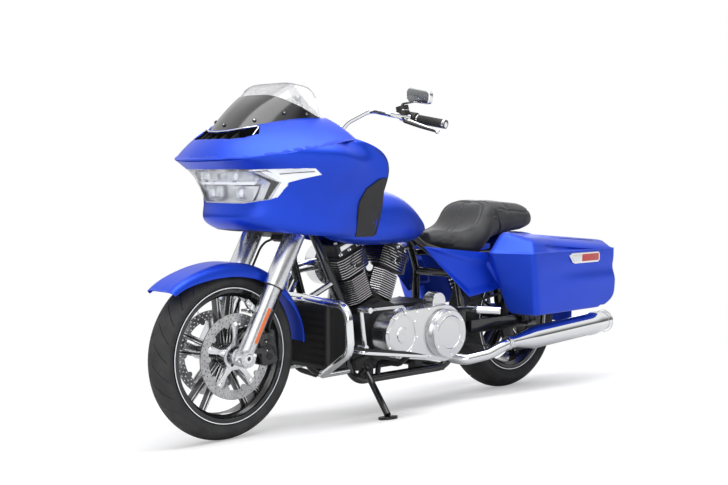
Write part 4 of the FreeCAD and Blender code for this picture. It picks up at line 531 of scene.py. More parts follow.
def new_tree(name, sockets):
    """A Geometry Nodes tree that turns copies at points by a facing and an ahead direction."""
    tree = bpy.data.node_groups.new(name, "GeometryNodeTree")
    tree.interface.new_socket("Geometry", in_out="INPUT", socket_type="NodeSocketGeometry")
    for label, kind, value in sockets:
        socket = tree.interface.new_socket(label, in_out="INPUT", socket_type=kind)
        if value is not None:
            socket.default_value = value
    tree.interface.new_socket("Geometry", in_out="OUTPUT", socket_type="NodeSocketGeometry")
    given, out = add_node(tree, "NodeGroupInput"), add_node(tree, "NodeGroupOutput")
    copies = add_node(tree, "GeometryNodeInstanceOnPoints")
    real = add_node(tree, "GeometryNodeRealizeInstances")
    coat = add_node(tree, "GeometryNodeSetMaterial")
    turn = None
    for label, axis, pivot in (("facing", "Z", "AUTO"), ("ahead", "X", "Z")):
        field = add_node(tree, "GeometryNodeInputNamedAttribute", Name=label)
        field.data_type = "FLOAT_VECTOR"
        align = add_node(tree, "FunctionNodeAlignRotationToVector")
        align.axis, align.pivot_axis = axis, pivot
        join(tree, (field.outputs["Attribute"], align.inputs["Vector"]))
        if turn:
            join(tree, (turn, align.inputs["Rotation"]))
        turn = align.outputs["Rotation"]
    join(tree, (given.outputs["Geometry"], copies.inputs["Points"]), (turn, copies.inputs["Rotation"]),
         (copies.outputs["Instances"], real.inputs["Geometry"]),
         (real.outputs["Geometry"], coat.inputs["Geometry"]),
         (given.outputs["Material"], coat.inputs["Material"]),
         (coat.outputs["Geometry"], out.inputs["Geometry"]))
    return tree, given, copies


def fastener_tree():
    """A round or six-sided head with a chamfer at every point."""
    tree, given, copies = new_tree("fasteners", (
        ("Head radius", "NodeSocketFloat", 0.006), ("Head height", "NodeSocketFloat", 0.005),
        ("Sides", "NodeSocketInt", 12), ("Material", "NodeSocketMaterial", None)))
    radius, height, sides = (given.outputs[label] for label in ("Head radius", "Head height", "Sides"))
    head, rim = add_node(tree, "GeometryNodeMeshCylinder"), add_node(tree, "GeometryNodeMeshCone")
    place, lift = add_node(tree, "ShaderNodeCombineXYZ"), add_node(tree, "GeometryNodeTransform")
    whole = add_node(tree, "GeometryNodeJoinGeometry")
    low = worked_out(tree, "MULTIPLY", height, 0.5)
    slim = worked_out(tree, "MULTIPLY", radius, 0.72)
    join(tree, (radius, head.inputs["Radius"]), (height, head.inputs["Depth"]),
         (sides, head.inputs["Vertices"]), (sides, rim.inputs["Vertices"]),
         (radius, rim.inputs["Radius Bottom"]), (slim, rim.inputs["Radius Top"]),
         (low, rim.inputs["Depth"]), (low, place.inputs["Z"]),
         (rim.outputs["Mesh"], lift.inputs["Geometry"]),
         (place.outputs["Vector"], lift.inputs["Translation"]),
         (head.outputs["Mesh"], whole.inputs["Geometry"]),
         (lift.outputs["Geometry"], whole.inputs["Geometry"]),
         (whole.outputs["Geometry"], copies.inputs["Instance"]))
    return tree


def copy_tree():
    """A copy of a given shape at every point."""
    tree, given, copies = new_tree("copies", (
        ("Shape", "NodeSocketObject", None), ("Material", "NodeSocketMaterial", None)))
    info = add_node(tree, "GeometryNodeObjectInfo")
    join(tree, (given.outputs["Shape"], info.inputs["Object"]),
         (info.outputs["Geometry"], copies.inputs["Instance"]))
    return tree


TREES = {}


def grow(name, places, tree, inputs, body, slot):
    """Runs a tree on places (spot, facing, ahead) and keeps the result as a plain piece."""
    mesh = bpy.data.meshes.new(name)
    mesh.from_pydata(stand([place[0] for place in places]).tolist(), [], [])
    for label, index in (("facing", 1), ("ahead", 2)):
        field = mesh.attributes.new(label, "FLOAT_VECTOR", "POINT")
        ways = np.array([place[index] for place in places], float) @ STANCE.T * 1000
        field.data.foreach_set("vector", ways.ravel())
    seed = new_object(name, mesh)
    modifier = seed.modifiers.new("pattern", "NODES")
    modifier.node_group = tree
    for item in tree.interface.items_tree:
        if item.in_out == "INPUT" and item.name in inputs:
            modifier[item.identifier] = inputs[item.name]
    shape = evaluated(seed)
    bpy.data.objects.remove(seed)
    shade(shape, SHARP)
    piece = new_object(name, shape)
    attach(piece, body)
    return piece


def fasten(name, places, body, slot, material, radius=6.0, height=5.0, sides=12):
    """Bolt heads at places (spot, facing)."""
    if "fasteners" not in TREES:
        TREES["fasteners"] = fastener_tree()
    full = [(spot, facing, (facing[1] + 0.1, facing[2], facing[0])) for spot, facing in places]
    return grow(name, full, TREES["fasteners"], {
        "Head radius": radius / 1000, "Head height": height / 1000, "Sides": sides,
        "Material": MATERIALS[material]}, body, slot)


def repeat(name, shell, places, body, slot, material):
    """Copies of a small shape, drawn in millimetres round its own origin."""
    if "copies" not in TREES:
        TREES["copies"] = copy_tree()
    shape = outward_mesh(f"{name}_shape", shell.spots() / 1000, shell.faces)
    source = new_object(f"{name}_shape", shape)
    piece = grow(name, places, TREES["copies"], {
        "Shape": source, "Material": MATERIALS[material]}, body, slot)
    bpy.data.objects.remove(source)
    return piece


def box_shell(size):
    """A plain bar round the origin, for repeats."""
    x, y, z = np.asarray(size, float) / 2
    return Shell().prism([(-x, -y, -z), (x, -y, -z), (x, y, -z), (-x, y, -z)], (0, 0, 2 * z))


def turned(centre, radius, count, first=0.0, y=0.0):
    """Places round a wheel's axle: (spot, outward direction, way round)."""
    places = []
    for turn in first + np.arange(count) * 2 * math.pi / count:
        out = np.array([math.cos(turn), 0, math.sin(turn)])
        places.append((centre + out * radius + (0, y, 0), out, np.cross(out, (0, 1, 0))))
    return places


def carved(mesh, cutters):
    """A mesh with some shells cut out of it."""
    blank = new_object("blank", mesh)
    tools = []
    for shell in cutters:
        tools.append(new_object("tool", outward_mesh("tool", stand(shell.spots()), shell.faces)))
        cut = blank.modifiers.new("cut", "BOOLEAN")
        cut.operation, cut.object, cut.solver = "DIFFERENCE", tools[-1], "EXACT"
    result = evaluated(blank)
    for item in [blank] + tools:
        bpy.data.objects.remove(item)
    return result


# Wheels and fork

WHEELS = {
    "front": {"centre": FRONT_AXLE, "radius": 319.3, "width": 130, "drop": 38, "crown": 66.4, "bead": 241.3,
              "lip": 255, "rim": 87, "stripe": 252, "spoke": 19, "depth": 30, "grooves": 27, "slant": 1.0},
    "rear": {"centre": REAR_AXLE, "radius": 327.6, "width": 180, "drop": 50, "crown": 97.25, "bead": 228.6,
             "lip": 242.5, "rim": 128, "stripe": 239, "spoke": 20, "depth": 44, "grooves": 25, "slant": 0.75},
}
GROOVE = ((0.0, 0), (0.018, 1), (0.05, 1), (0.068, 0), (0.2, 0), (0.35, 0))
GROOVE_DEPTH = 5.5
SPOKES = 5
SPOKE_TURN = 2 * math.pi / SPOKES
FORK_TURN = math.radians(29.25)
FORK_UP = np.array([-math.sin(FORK_TURN), 0, math.cos(FORK_TURN)])
FORK_AHEAD = np.array([math.cos(FORK_TURN), 0, math.sin(FORK_TURN)])


def on_fork(distance, half=0.0, ahead=0.0):
    """A place up the fork from the axle, half a width to the left and ahead of it."""
    return FRONT_AXLE + FORK_UP * distance + FORK_AHEAD * ahead + (0, half, 0)


def make_tyre(end):
    """A tyre whose slanted grooves alternate from side to side."""
    wheel = WHEELS[end]
    bead, wall = wheel["rim"] / 2, 9
    shoulder, low = wheel["width"] / 2 - 5, wheel["radius"] - wheel["drop"]
    crown = arc((-shoulder, low), (shoulder, low), wheel["crown"], -1, 43)
    inner = arc((shoulder - wall, low - 2), (wall - shoulder, low - 2), wheel["crown"], 1, 13)
    side = arc((-bead, wheel["lip"]), (-shoulder, low), wheel["drop"], -1, 11)[:-1]
    ridge = np.exp(-((side[:, 1] - side[3, 1]) / 2.4) ** 2) * 1.1
    side[:, 0] -= ridge
    section = np.concatenate([
        [(-bead, wheel["bead"])], side, crown, side[::-1] * (-1, 1), [(bead, wheel["bead"])],
        [(bead - wall, wheel["bead"]), (bead - wall, wheel["lip"])], inner,
        [(wall - bead, wheel["lip"]), (wall - bead, wheel["bead"])]])
    first = 1 + len(side)
    heart = np.array([0, low - 30])
    rows = []
    pitch = 2 * math.pi / wheel["grooves"]
    for period in range(wheel["grooves"]):
        for lean in (0, 1):
            for share, deep in GROOVE:
                base = (period + 0.5 * lean + share) * pitch
                profile = section.copy()
                sunk = np.zeros(len(section), bool)
                reach = (profile[:, 0] * (-1 if lean else 1)) / shoulder
                sunk[first:first + 43] = (reach[first:first + 43] > 0.1) & (reach[first:first + 43] < 0.93)
                if deep:
                    profile[sunk] += unit(heart - profile[sunk]) * GROOVE_DEPTH
                across = np.minimum(np.abs(profile[:, 0]), shoulder)
                turn = base - wheel["slant"] * (across + 0.006 * across ** 2) / wheel["radius"]
                y, reach = profile.T
                rows.append(wheel["centre"] + np.stack([np.cos(turn) * reach, y, np.sin(turn) * reach], 1))
    shell = Shell().grid(rows, loop_across=True, loop_along=True)
    finish(f"{end}_tyre_tread", shell, f"{end}_wheel", "rubber", [f"{end}_tyre"], sharp=38)


def spoke_ways(index):
    """The way out along a spoke and the way square to it."""
    turn = index * SPOKE_TURN
    return np.array([math.sin(turn), 0, math.cos(turn)]), np.array([math.cos(turn), 0, -math.sin(turn)])


def band(low, high, inner, outer):
    """The square section of a ring, for revolve."""
    return [(low, inner), (high, inner), (high, outer), (low, outer)]


def make_rim_trim(end):
    """The white line on each flange and the machined edges of the spokes."""
    wheel = WHEELS[end]
    centre, stripe, wide = wheel["centre"], wheel["stripe"], wheel["spoke"]
    body = f"{end}_wheel"
    line, edges = Shell(), Shell()
    reach = wheel["bead"] - 14
    for side in (1, -1):
        face = side * (wheel["rim"] / 2 + 6)
        line.revolve(band(face - side, face + side * 0.5, stripe - 1.5, stripe + 1.5), centre, steps=160)
        outer = side * wheel["depth"] / 2
        for index in range(SPOKES):
            out, way = spoke_ways(index)
            for hand in (1, -1):
                for low, high, inward in ((3, 34 - wide / 4, 1), (3 + wide, 34 + wide / 2, -1)):
                    near = centre + out * 44 + way * hand * (low + inward * 0.4)
                    far = centre + out * (reach + 8) + way * hand * (high + inward * 0.4)
                    strip = way * hand * inward * 3.6
                    lift = np.array([0, outer - side * 2, 0])
                    edges.prism([near + lift, near + strip + lift, far + strip + lift, far + lift],
                                (0, side * 2.5, 0))
        edges.revolve(band(outer - side * 2, outer + side * 0.6, 38, 41.5), centre, steps=72)
    # The white rim line glows faintly through its finish's emission: painted light.
    finish(f"{end}_rim_line", line, body, "white")
    finish(f"{end}_spoke_edges", edges, body, "machined", bevel=0.3, segments=1)
    valve = centre + (math.sin(0.6) * 212, 0, math.cos(0.6) * 212)
    stem = Shell().rod(valve, valve + (valve - centre) * -0.14, 3.6, end_radius=3)
    finish(f"{end}_valve", stem, body, "chrome", bevel=0.6)


def perforate(shell, centre, low, high, inner, outer, rows, count, hole):
    """A flat ring across the axle whose staggered round holes go right through."""
    edges = np.linspace(inner, outer, rows + 1)
    step = 2 * math.pi / count
    for row, (near, far) in enumerate(zip(edges, edges[1:])):
        middle = (near + far) / 2
        cell_edge = [(near, 0), (near, 0.5), (near, 1), (middle, 1), (far, 1), (far, 0.5), (far, 0),
                     (middle, 0)]
        for cell in range(count):
            start = (cell + row % 2 / 2) * step
            ring = np.array([(r * math.cos(start + a * step), r * math.sin(start + a * step))
                             for r, a in cell_edge])
            heart = np.array([math.cos(start + step / 2), math.sin(start + step / 2)]) * middle
            bore = heart + unit(ring - heart) * hole
            points = [(x, y, z) for y in (low, high) for x, z in np.concatenate([ring, bore])]
            faces = []
            for i in range(8):
                j = (i + 1) % 8
                faces += [(i, j, 8 + j, 8 + i), (16 + i, 24 + i, 24 + j, 16 + j),
                          (8 + i, 8 + j, 24 + j, 24 + i)]
            shell.add(np.asarray(points) + centre, faces)
    turns = np.arange(2 * count) * step / 2
    for radius in (inner, outer):
        wall = [[(radius * math.cos(a), y, radius * math.sin(a)) for y in (low, high)] for a in turns]
        shell.grid(np.asarray(wall) + centre, loop_along=True)


def facing(places, way):
    """Places of turned with one direction for their bolt heads."""
    return [(spot, way) for spot, _, _ in places]


def make_discs():
    """Perforated rings on bright carriers with round buttons."""
    for end, lows, radius, inner, node in (("front", (71, -76), 160, 124, "front_discs"),
                                           ("rear", (-81,), 150, 116, "rear_disc")):
        centre, body = WHEELS[end]["centre"], f"{end}_wheel"
        ring, carrier, buttons, hub = Shell(), Shell(), [], []
        half = [(17, 40), (9, 78), (15, inner - 8), (13, inner + 6)]
        shape = [(-a, r) for a, r in half] + half[::-1]
        for low in lows:
            out = 1 if low > 0 else -1
            perforate(ring, centre, low, low + 5, inner, radius, 3, 44, 3.1)
            middle = low + 2.5
            carrier.revolve(band(middle - 3.4, middle + 3.4, 20, 50), centre, steps=60)
            for index in range(SPOKES):
                up, way = spoke_ways(index)
                carrier.prism([centre + way * a + up * r + (0, middle - 3.2, 0) for a, r in shape],
                              (0, 6.4, 0))
                buttons.append((centre + up * (inner - 3) + (0, middle + out * 3.2, 0), (0, out, 0)))
                for hand in (1, -1):
                    lobe = centre + (up * math.cos(0.31) + way * hand * math.sin(0.31)) * (inner - 1)
                    ring.revolve(band(low + 0.4, low + 4.6, 0.5, 11), lobe, steps=20)
            hub += facing(turned(centre, 34, 5, 0.2, middle + out * 3.4), (0, out, 0))
        finish(f"{end}_disc_rings", ring, body, "disc", [node], sharp=40)
        finish(f"{end}_disc_carriers", carrier, body, "machined", bevel=1.2)
        fasten(f"{end}_disc_buttons", buttons, body, "disc_steel", "chrome", 8.5, 4, 20)
        fasten(f"{end}_disc_bolts", hub, body, "disc_steel", "satin_black", 6, 4, 6)


def make_fork():
    """Bright sliders and covers with their seams, reflectors, axle caps and fender clips."""
    for name in ("left", "right"):
        dress(f"fork_leg_{name}", "fork", 1.0)
    amber, rims, dark, clips = Shell(), Shell(), Shell(), Shell()
    bolts, pistons = [], []
    for side in (1, -1):
        half = side * 124
        face = half + side * 31.6
        shape = [(64, -7), (58, 0), (64, 7), (198, 8), (205, 2), (200, -7)]
        amber.prism([on_fork(d, face - side * 5, a - 1) for d, a in shape], (0, side * 6.4, 0))
        foot = on_fork(0, half)
        dark.revolve([(283.5, 31.7), (283.5, 35.5), (287.5, 39.3), (287.5, 31.7)], foot, FORK_UP, 48)
        for low, high, rim in ((291, 294, 39.5), (506, 510, 39.4)):
            rims.revolve([(low, 38.9), (low, rim), (high, rim), (high, 38.9)], foot, FORK_UP, 48)
        rims.revolve([(30, 2), (30, 20), (34, 20), (35, 18), (35, 8), (31, 7)],
                     FRONT_AXLE + (0, side * 121, 0), (0, side, 0), 40)
        dark.revolve(band(31, 32.6, 0.5, 7), FRONT_AXLE + (0, side * 122, 0), (0, side, 0), 6)
        clip = [on_fork(d, side * 90, a) for d, a in ((172, 22), (196, 30), (205, 70), (188, 74), (176, 52))]
        clips.prism(clip, (0, side * 16, 0))
        bolts += [(on_fork(d, side * y, a), (0, side, 0))
                  for d, y, a in ((208, 90, 4), (230, 90, 4), (190, 106, 60), (22, 152, -22))]
        turn = math.radians(171)
        out = np.array([math.cos(turn), 0, math.sin(turn)])
        way = np.array([-out[2], 0, out[0]])
        pistons += [(FRONT_AXLE + out * 140 + way * d + (0, side * 98.5, 0), (0, side, 0))
                    for d in (-34, 0, 34)]
    finish("fork_reflectors", amber, "steering", "amber", bevel=1.6, segments=3)
    finish("fork_rims", rims, "steering", "chrome", bevel=0.4)
    finish("fork_seals", dark, "steering", "gloss_black")
    finish("fender_clips", clips, "steering", "fork", bevel=3, segments=3)
    fasten("fork_bolts", bolts, "steering", "fork_metal", "chrome", 8, 5, 6)
    dress("fork_yokes", "satin_black", 3.0, segments=3)
    fasten("caliper_caps", pistons, "steering", "caliper_black", "satin_black", 13, 5, 28)
    fasten("caliper_bolts", [(spot + (14, 0, 24), way) for spot, way in pistons], "steering",
           "caliper_black", "chrome", 4.5, 4, 6)


# Fairing, lamp and screen: guide rows from the left end to the middle

RIDGE = [(1270, 350, 1119), (1390, 362, 1100), (1500, 350, 1080), (1613, 292, 1060), (1693, 200, 1046),
         (1741, 100, 1040), (1757, 0, 1038)]
TOP_EDGE = [(1300, 215, 1200), (1380, 206, 1198), (1462, 188, 1190), (1540, 156, 1176), (1600, 112, 1162),
            (1632, 58, 1153), (1640, 0, 1150)]
WAIST = [(1155, 398, 1039), (1300, 384, 1020), (1440, 350, 1006), (1552, 288, 1000), (1629, 200, 1003),
         (1664, 100, 1006), (1674, 0, 1008)]
BELLY = [(1110, 318, 890), (1240, 308, 884), (1376, 284, 881), (1500, 240, 883), (1586, 165, 886),
         (1618, 84, 884), (1627, 0, 882)]
JAW = [(1098, 288, 842), (1220, 288, 838), (1352, 274, 838), (1480, 238, 844), (1586, 168, 851),
       (1628, 88, 853), (1639, 0, 853)]
BOTTOM = [(1074, 235, 747), (1176, 240, 750), (1288, 238, 756), (1396, 224, 764), (1498, 176, 775),
          (1566, 98, 781), (1588, 0, 782)]


def over_the_middle(rows):
    """Rows from the left end over the middle to the right end."""
    rows = np.asarray(rows, float)
    return np.concatenate([rows, rows[-2::-1] * (1, -1, 1)])


FACE = surface(over_the_middle(list(zip(RIDGE, WAIST, BELLY, JAW, BOTTOM))), 97, 241)
HOOD = surface(over_the_middle([
    [top, (np.array(top) + low) / 2 + (2.2, 0, 7.2), low]
    for top, low in zip(np.array(TOP_EDGE, float), np.array(RIDGE, float))]), 61, 241)


def seat_on(grid, spot, first, second):
    """The point of a fine grid over a place given by two of its coordinates."""
    gap = (grid[..., first] - spot[0]) ** 2 + (grid[..., second] - spot[1]) ** 2
    i, j = np.unravel_index(np.argmin(gap), gap.shape)
    i, j = min(max(i, 1), grid.shape[0] - 2), min(max(j, 1), grid.shape[1] - 2)
    here, a, b = grid[i, j], grid[i + 1, j] - grid[i - 1, j], grid[i, j + 1] - grid[i, j - 1]
    step = np.linalg.lstsq([[a[first], b[first]], [a[second], b[second]]],
                           [spot[0] - here[first], spot[1] - here[second]], rcond=None)[0]
    return here + a * step[0] + b * step[1]


def on_face(y, z, back=0):
    """A place on the fairing's face, set back from it."""
    return seat_on(FACE, (y, z), 1, 2) - (back, 0, 0)


def front_patch(top, bottom, depth, across, along):
    """A grid on the fairing's face between two (y, z) lines, set back by a depth."""
    high, low = spaced(top, across), spaced(bottom, across)
    return np.array([[on_face(*spot, depth) for spot in high * (1 - share) + low * share]
                     for share in np.linspace(0, 1, along)])


def both(line):
    """A line from the left side to the middle, carried on to the right side."""
    line = [tuple(spot) for spot in line]
    return line + [(-y, z) for y, z in reversed(line) if y > 0]


def sheet_shell(shell, rows, thickness, toward):
    """A walled sheet whose outer side looks toward a direction."""
    rows = np.asarray(rows, float)
    if np.dot(normals_of(rows).mean(axis=(0, 1)), toward) < 0:
        rows = rows[::-1]
    return shell.wall(rows, thickness)


def lifted(rows, lift, toward):
    """A sheet moved off along its own normals."""
    normal = unit(normals_of(rows))
    return rows + normal * lift * (1 if np.dot(normal.mean(axis=(0, 1)), toward) > 0 else -1)


DUCT_OUTER = [(1598, 184), (1640, 150), (1668, 103), (1680, 50), (1684, 0)]
DUCT_INNER = [(1566, 152), (1608, 112), (1640, 58), (1648, 0)]
TRIM_INWARD = [(-62, -52, -14), (-58, -60, -16), (-70, -62, 20), (-78, -52, 20), (-66, -44, 6)]


def make_shell():
    """The painted shell with a lined air slot under the screen."""
    ring = DUCT_OUTER + [(x, -y) for x, y in reversed(DUCT_OUTER[:-1])]
    ring += [(x, -y) for x, y in DUCT_INNER[:-1]] + [(x, y) for x, y in reversed(DUCT_INNER)]
    cutter = Shell().prism([(x, y, 1085) for x, y in ring], (0, 0, 130))
    dress("outer_fairing", "blue", 0.6, sharp=24, cutters=[cutter])
    ring_top = np.array([seat_on(HOOD, spot, 0, 1) for spot in ring])
    liner = Shell()
    low = ring_top * (1, 0.94, 1) + (-26, 0, -36)
    for drop in (0, 2):
        floor = low - (0, 0, drop)
        liner.grid([ring_top + (0, 0, -1.5), floor], loop_across=True)
        liner.add(floor, [tuple(range(len(low)))])
    finish("duct_liner", liner, "chassis", "gloss_black")
    start, end = ring_top[8:9] * 0.5 + ring_top[9:10] * 0.5, ring_top[0:1] * 0.6 + ring_top[1:2] * 0.4
    edge = np.concatenate([start, ring_top[len(DUCT_OUTER) * 2 - 1:], end])
    finish("duct_frame", Shell().tube(bent(edge + (0, 0, 0.8), 12), 2.6), "chassis", "chrome")
    bars = Shell()
    for y in (-92, -46, 0, 46, 92):
        front = seat_on(HOOD, (1676 - abs(y) * 0.1, y), 0, 1) + (-6, 0, -5)
        back = seat_on(HOOD, (1646 - abs(y) * 0.3, y), 0, 1) + (-4, 0, -12)
        bars.prism([front + spot for spot in ((0, -1.5, 0), (0, 1.5, 0), (0, 1.5, -24), (0, -1.5, -24))],
                   back - front)
    finish("duct_vanes", bars, "chassis", "plastic", bevel=0.5)


def make_fairing_trim():
    """The fairing's dark lip, inner trim and rear edge."""
    lip, trim, strip = Shell(), Shell(), Shell()
    sheet_shell(lip, FACE[58:183, 91:97] + (1.0, 0, -0.6), 5, (1, 0, -0.2))
    finish("chin_lip", lip, "chassis", "plastic", bevel=0.8)
    outer_edge = cubic([row[0] for row in (RIDGE, WAIST, BELLY, JAW, BOTTOM)], 33)
    inner_edge = outer_edge + cubic(TRIM_INWARD, 33)
    for side in (1, -1):
        rows = np.array([outer_edge * (1 - share) + inner_edge * share
                         + np.array([-6, -4, 0]) * math.sin(share * 3.14)
                         for share in np.linspace(0, 1, 9)]) * (1, side, 1) + (2, 0, 0)
        sheet_shell(trim, rows, 3, (-0.5, side, 0))
    finish("fairing_trim", trim, "chassis", "plastic", bevel=0.8)
    columns = np.arange(44, 96)
    wide = np.interp(columns, (44, 50, 61, 96), (5, 14, 18, 21))
    lift = np.interp(columns, (44, 58, 96), (1.2, 7, 7))[None, :, None]
    for side, skin in ((1, FACE), (-1, FACE[::-1])):
        rows = []
        for share in np.linspace(0, 1, 17):
            reach = 1 + share * wide
            cell = np.floor(reach).astype(int)
            part = (reach - cell)[:, None]
            rows.append(skin[cell, columns] * (1 - part) + skin[cell + 1, columns] * part)
        sheet_shell(strip, lifted(np.array(rows), lift, (0, side, 0)), 8, (0, side, 0))
    finish("fairing_edge", strip, "chassis", "plastic", sharp=50)


def make_fairing():
    """The fairing's shell and trim, and the dash with its dials and screws."""
    make_shell()
    make_fairing_trim()
    dress("inner_fairing", "plastic", 2.5, segments=3)
    make_dials()
    screws = [(np.array([1344.0, side * y, z]), (-1, 0, 0)) for side in (1, -1)
              for y, z in ((170, 1186), (262, 1160), (346, 1040), (290, 950))]
    fasten("dash_screws", screws, "chassis", "black_plastic", "satin_black", 5, 3, 12)


def make_dials():
    """Two gauges in bright rims, and two speaker grilles."""
    rims, faces, ticks, hands, nets = Shell(), Shell(), Shell(), Shell(), []
    for side in (1, -1):
        centre = np.array([1295, side * 46, 1154.0])
        rims.revolve([(-2, 26.5), (3, 27.5), (4.5, 30.5), (2, 32), (-2, 32)], centre, (-1, 0, 0), 56)
        faces.rod(centre + (2.6, 0, 0), centre + (1.2, 0, 0), 27)
        for index in range(13):
            turn = math.radians(225 - index * 22.5)
            out = np.array([0, math.cos(turn), math.sin(turn)])
            way = np.array([0, -out[2], out[1]]) * 0.6
            near, far = centre + out * 20 + (0.6, 0, 0), centre + out * 24.5 + (0.6, 0, 0)
            ticks.prism([near - way, near + way, far + way, far - way], (-0.8, 0, 0))
        needle = np.array([0, math.cos(2.6), math.sin(2.6)])
        across = np.array([0, -needle[2], needle[1]]) * 1.2
        start = centre + (0.4, 0, 0)
        hands.prism([start - across - needle * 5, start + across - needle * 5, start + needle * 21],
                    (-1.2, 0, 0))
        hands.rod(start, start + (-2.2, 0, 0), 3)
        heart = np.array([1337, side * 268.0, 1066])
        rims.revolve([(-1, 58), (3, 59), (3.5, 61), (1, 63), (-1, 63)], heart, (-1, 0, 0), 64)
        for ring in range(6):
            for turn in np.arange(max(1, ring * 7)) * 2 * math.pi / max(1, ring * 7):
                spot = heart + (2.4, math.cos(turn) * ring * 9.4, math.sin(turn) * ring * 9.4)
                nets.append((spot, (-1, 0, 0)))
    finish("dial_rims", rims, "chassis", "chrome")
    finish("dial_faces", faces, "chassis", "gloss_black", bevel=0.3)
    # The white ticks glow faintly through their finish's emission: painted light.
    finish("dial_ticks", ticks, "chassis", "white")
    finish("dial_hands", hands, "chassis", "red")
    fasten("speaker_studs", nets, "chassis", "black_plastic", "satin_black", 3.4, 2.4, 6)


# The bright panels of a lamp's bowls: upper line, lower line, set-back; and its plates: shell, set-back,
# depth, outline. Lines are (y, z) on the left.

LAMP_PANELS = (
    (((30, 999), (150, 998), (178, 966)), ((30, 964), (120, 964), (160, 964)), 26),
    (((18, 946), (120, 946), (162, 946)), ((26, 898), (100, 892), (126, 892)), 22))
LAMP_PLATES = (
    ("metal", 8, 15, [(200, 998), (262, 961), (206, 902), (186, 895), (242, 960), (176, 998)]),
    ("light", 2, 12, [(232, 1000), (276, 975), (268, 960), (214, 898), (198, 893), (251, 960), (212, 999)]),
    ("dark", 20, 8, [(180, 998), (236, 960), (182, 896), (166, 892), (208, 958), (168, 998)]),
    ("light", 2.5, 12, [(236, 1008), (344, 1011), (338, 988), (272, 962), (262, 976)]))


def make_headlamp():
    """A clear cover over fluted bowls, a split light bar, arrow bezels and bright wings."""
    shells = {kind: Shell() for kind in ("metal", "light", "dark")}
    metal, light, dark = shells.values()
    bowl, cover, flutes = Shell(), Shell(), []
    sheet_shell(bowl, front_patch(both([(262, 1006), (160, 1003), (60, 1007), (0, 1008)]),
                                  both([(262, 958), (204, 900), (112, 884), (0, 884)]), 34, 61, 17),
                3, (1, 0, 0))
    for side in (1, -1):
        for upper, lower, back in LAMP_PANELS:
            upper, lower = ([(side * y, z) for y, z in line] for line in (upper, lower))
            sheet_shell(metal, front_patch(upper, lower, back, 21, 9), 2, (1, 0, 0))
        for kind, back, depth, outline in LAMP_PLATES:
            shells[kind].prism([on_face(side * y, z, back) for y, z in outline], (-depth, 0, 0))
        line = np.array([on_face(side * y, z) for y, z in ((262, 990), (300, 995), (336, 999))])
        dark.tube(cubic(line, 9) + (-3.0, 0, 0), 1.5)
        for z, back in ((982, 12), (920, 10)):
            spot = on_face(side * 84, z, back)
            metal.revolve([(-14, 15), (0, 21), (2, 21), (2, 22.5), (-14, 18)], spot, (1, 0, 0), 40)
            light.revolve([(-12, 0.5), (-5, 0.5), (-2.5, 7), (-4, 12), (-9, 15), (-12, 15)], spot,
                          (1, 0, 0), 32)
        for count, first, step, z, back, lean in ((12, 36, 10.4, 981, 24.5, 0), (9, 34, 11.6, 920, 20, 0.3)):
            flutes += [(on_face(side * (first + index * step), z, back), (0, side * lean, 1), (1, 0, 0))
                       for index in range(count)]
    upper, lower = both([(166, 960), (90, 960), (0, 960)]), both([(160, 951), (90, 951), (0, 951)])
    sheet_shell(light, front_patch(upper, lower, 7, 41, 4), 12, (1, 0, 0))
    rim = both([(262, 950), (205, 897), (112, 882), (60, 882), (0, 882)])
    rim = np.array([on_face(*spot) for spot in rim])
    metal.tube(bent(rim + (-3, 0, 2.5), 14), 2.6, steps=10)
    finish("lamp_bowl", bowl, "chassis", "reflector", ["headlamp"])
    finish("lamp_metal", metal, "chassis", "reflector", bevel=0.8)
    finish("lamp_lights", light, "chassis", "white", bevel=0.9)
    finish("lamp_gap", dark, "chassis", "gloss_black", bevel=0.5)
    flute = Shell().revolve([(-15, 0.3), (-15, 3.4), (15, 3.4), (15, 0.3)], (0, 0, 0), (0, 0, 1), 12)
    repeat("lamp_flutes", flute, flutes, "chassis", "lamp_glass", "reflector")
    sheet_shell(cover, front_patch(both([(252, 1008), (160, 1005), (60, 1009), (0, 1010)]),
                                   both([(264, 958), (204, 899), (112, 883), (0, 883)]), 0.4, 61, 17),
                2.4, (1, 0, 0))
    finish("lamp_cover", cover, "chassis", "lens")


SCREEN_HEAD = [(-47, 214, -71), (-30, 200, -33), (-14, 160, -13), (-4, 112, -3), (-1, 72, 0), (0, 36, 0),
               (0, 0, 0)]


def screen_columns():
    """Columns of the screen from its rounded head to its foot, left to right."""
    half = []
    for low, shift in zip([(1325, 213, 1200)] + TOP_EDGE[1:], SCREEN_HEAD):
        top = np.array([1392, 0, 1333.0]) + shift
        foot = np.array(low, float) - (4, 0, 7)
        foot[1] = max(low[1] - 3, 0)
        bulge = np.array([0.5, 0, 0.6]) * np.linalg.norm(top - foot) * 0.07
        half.append([top, (top + foot) / 2 + bulge, foot])
    return over_the_middle(half)


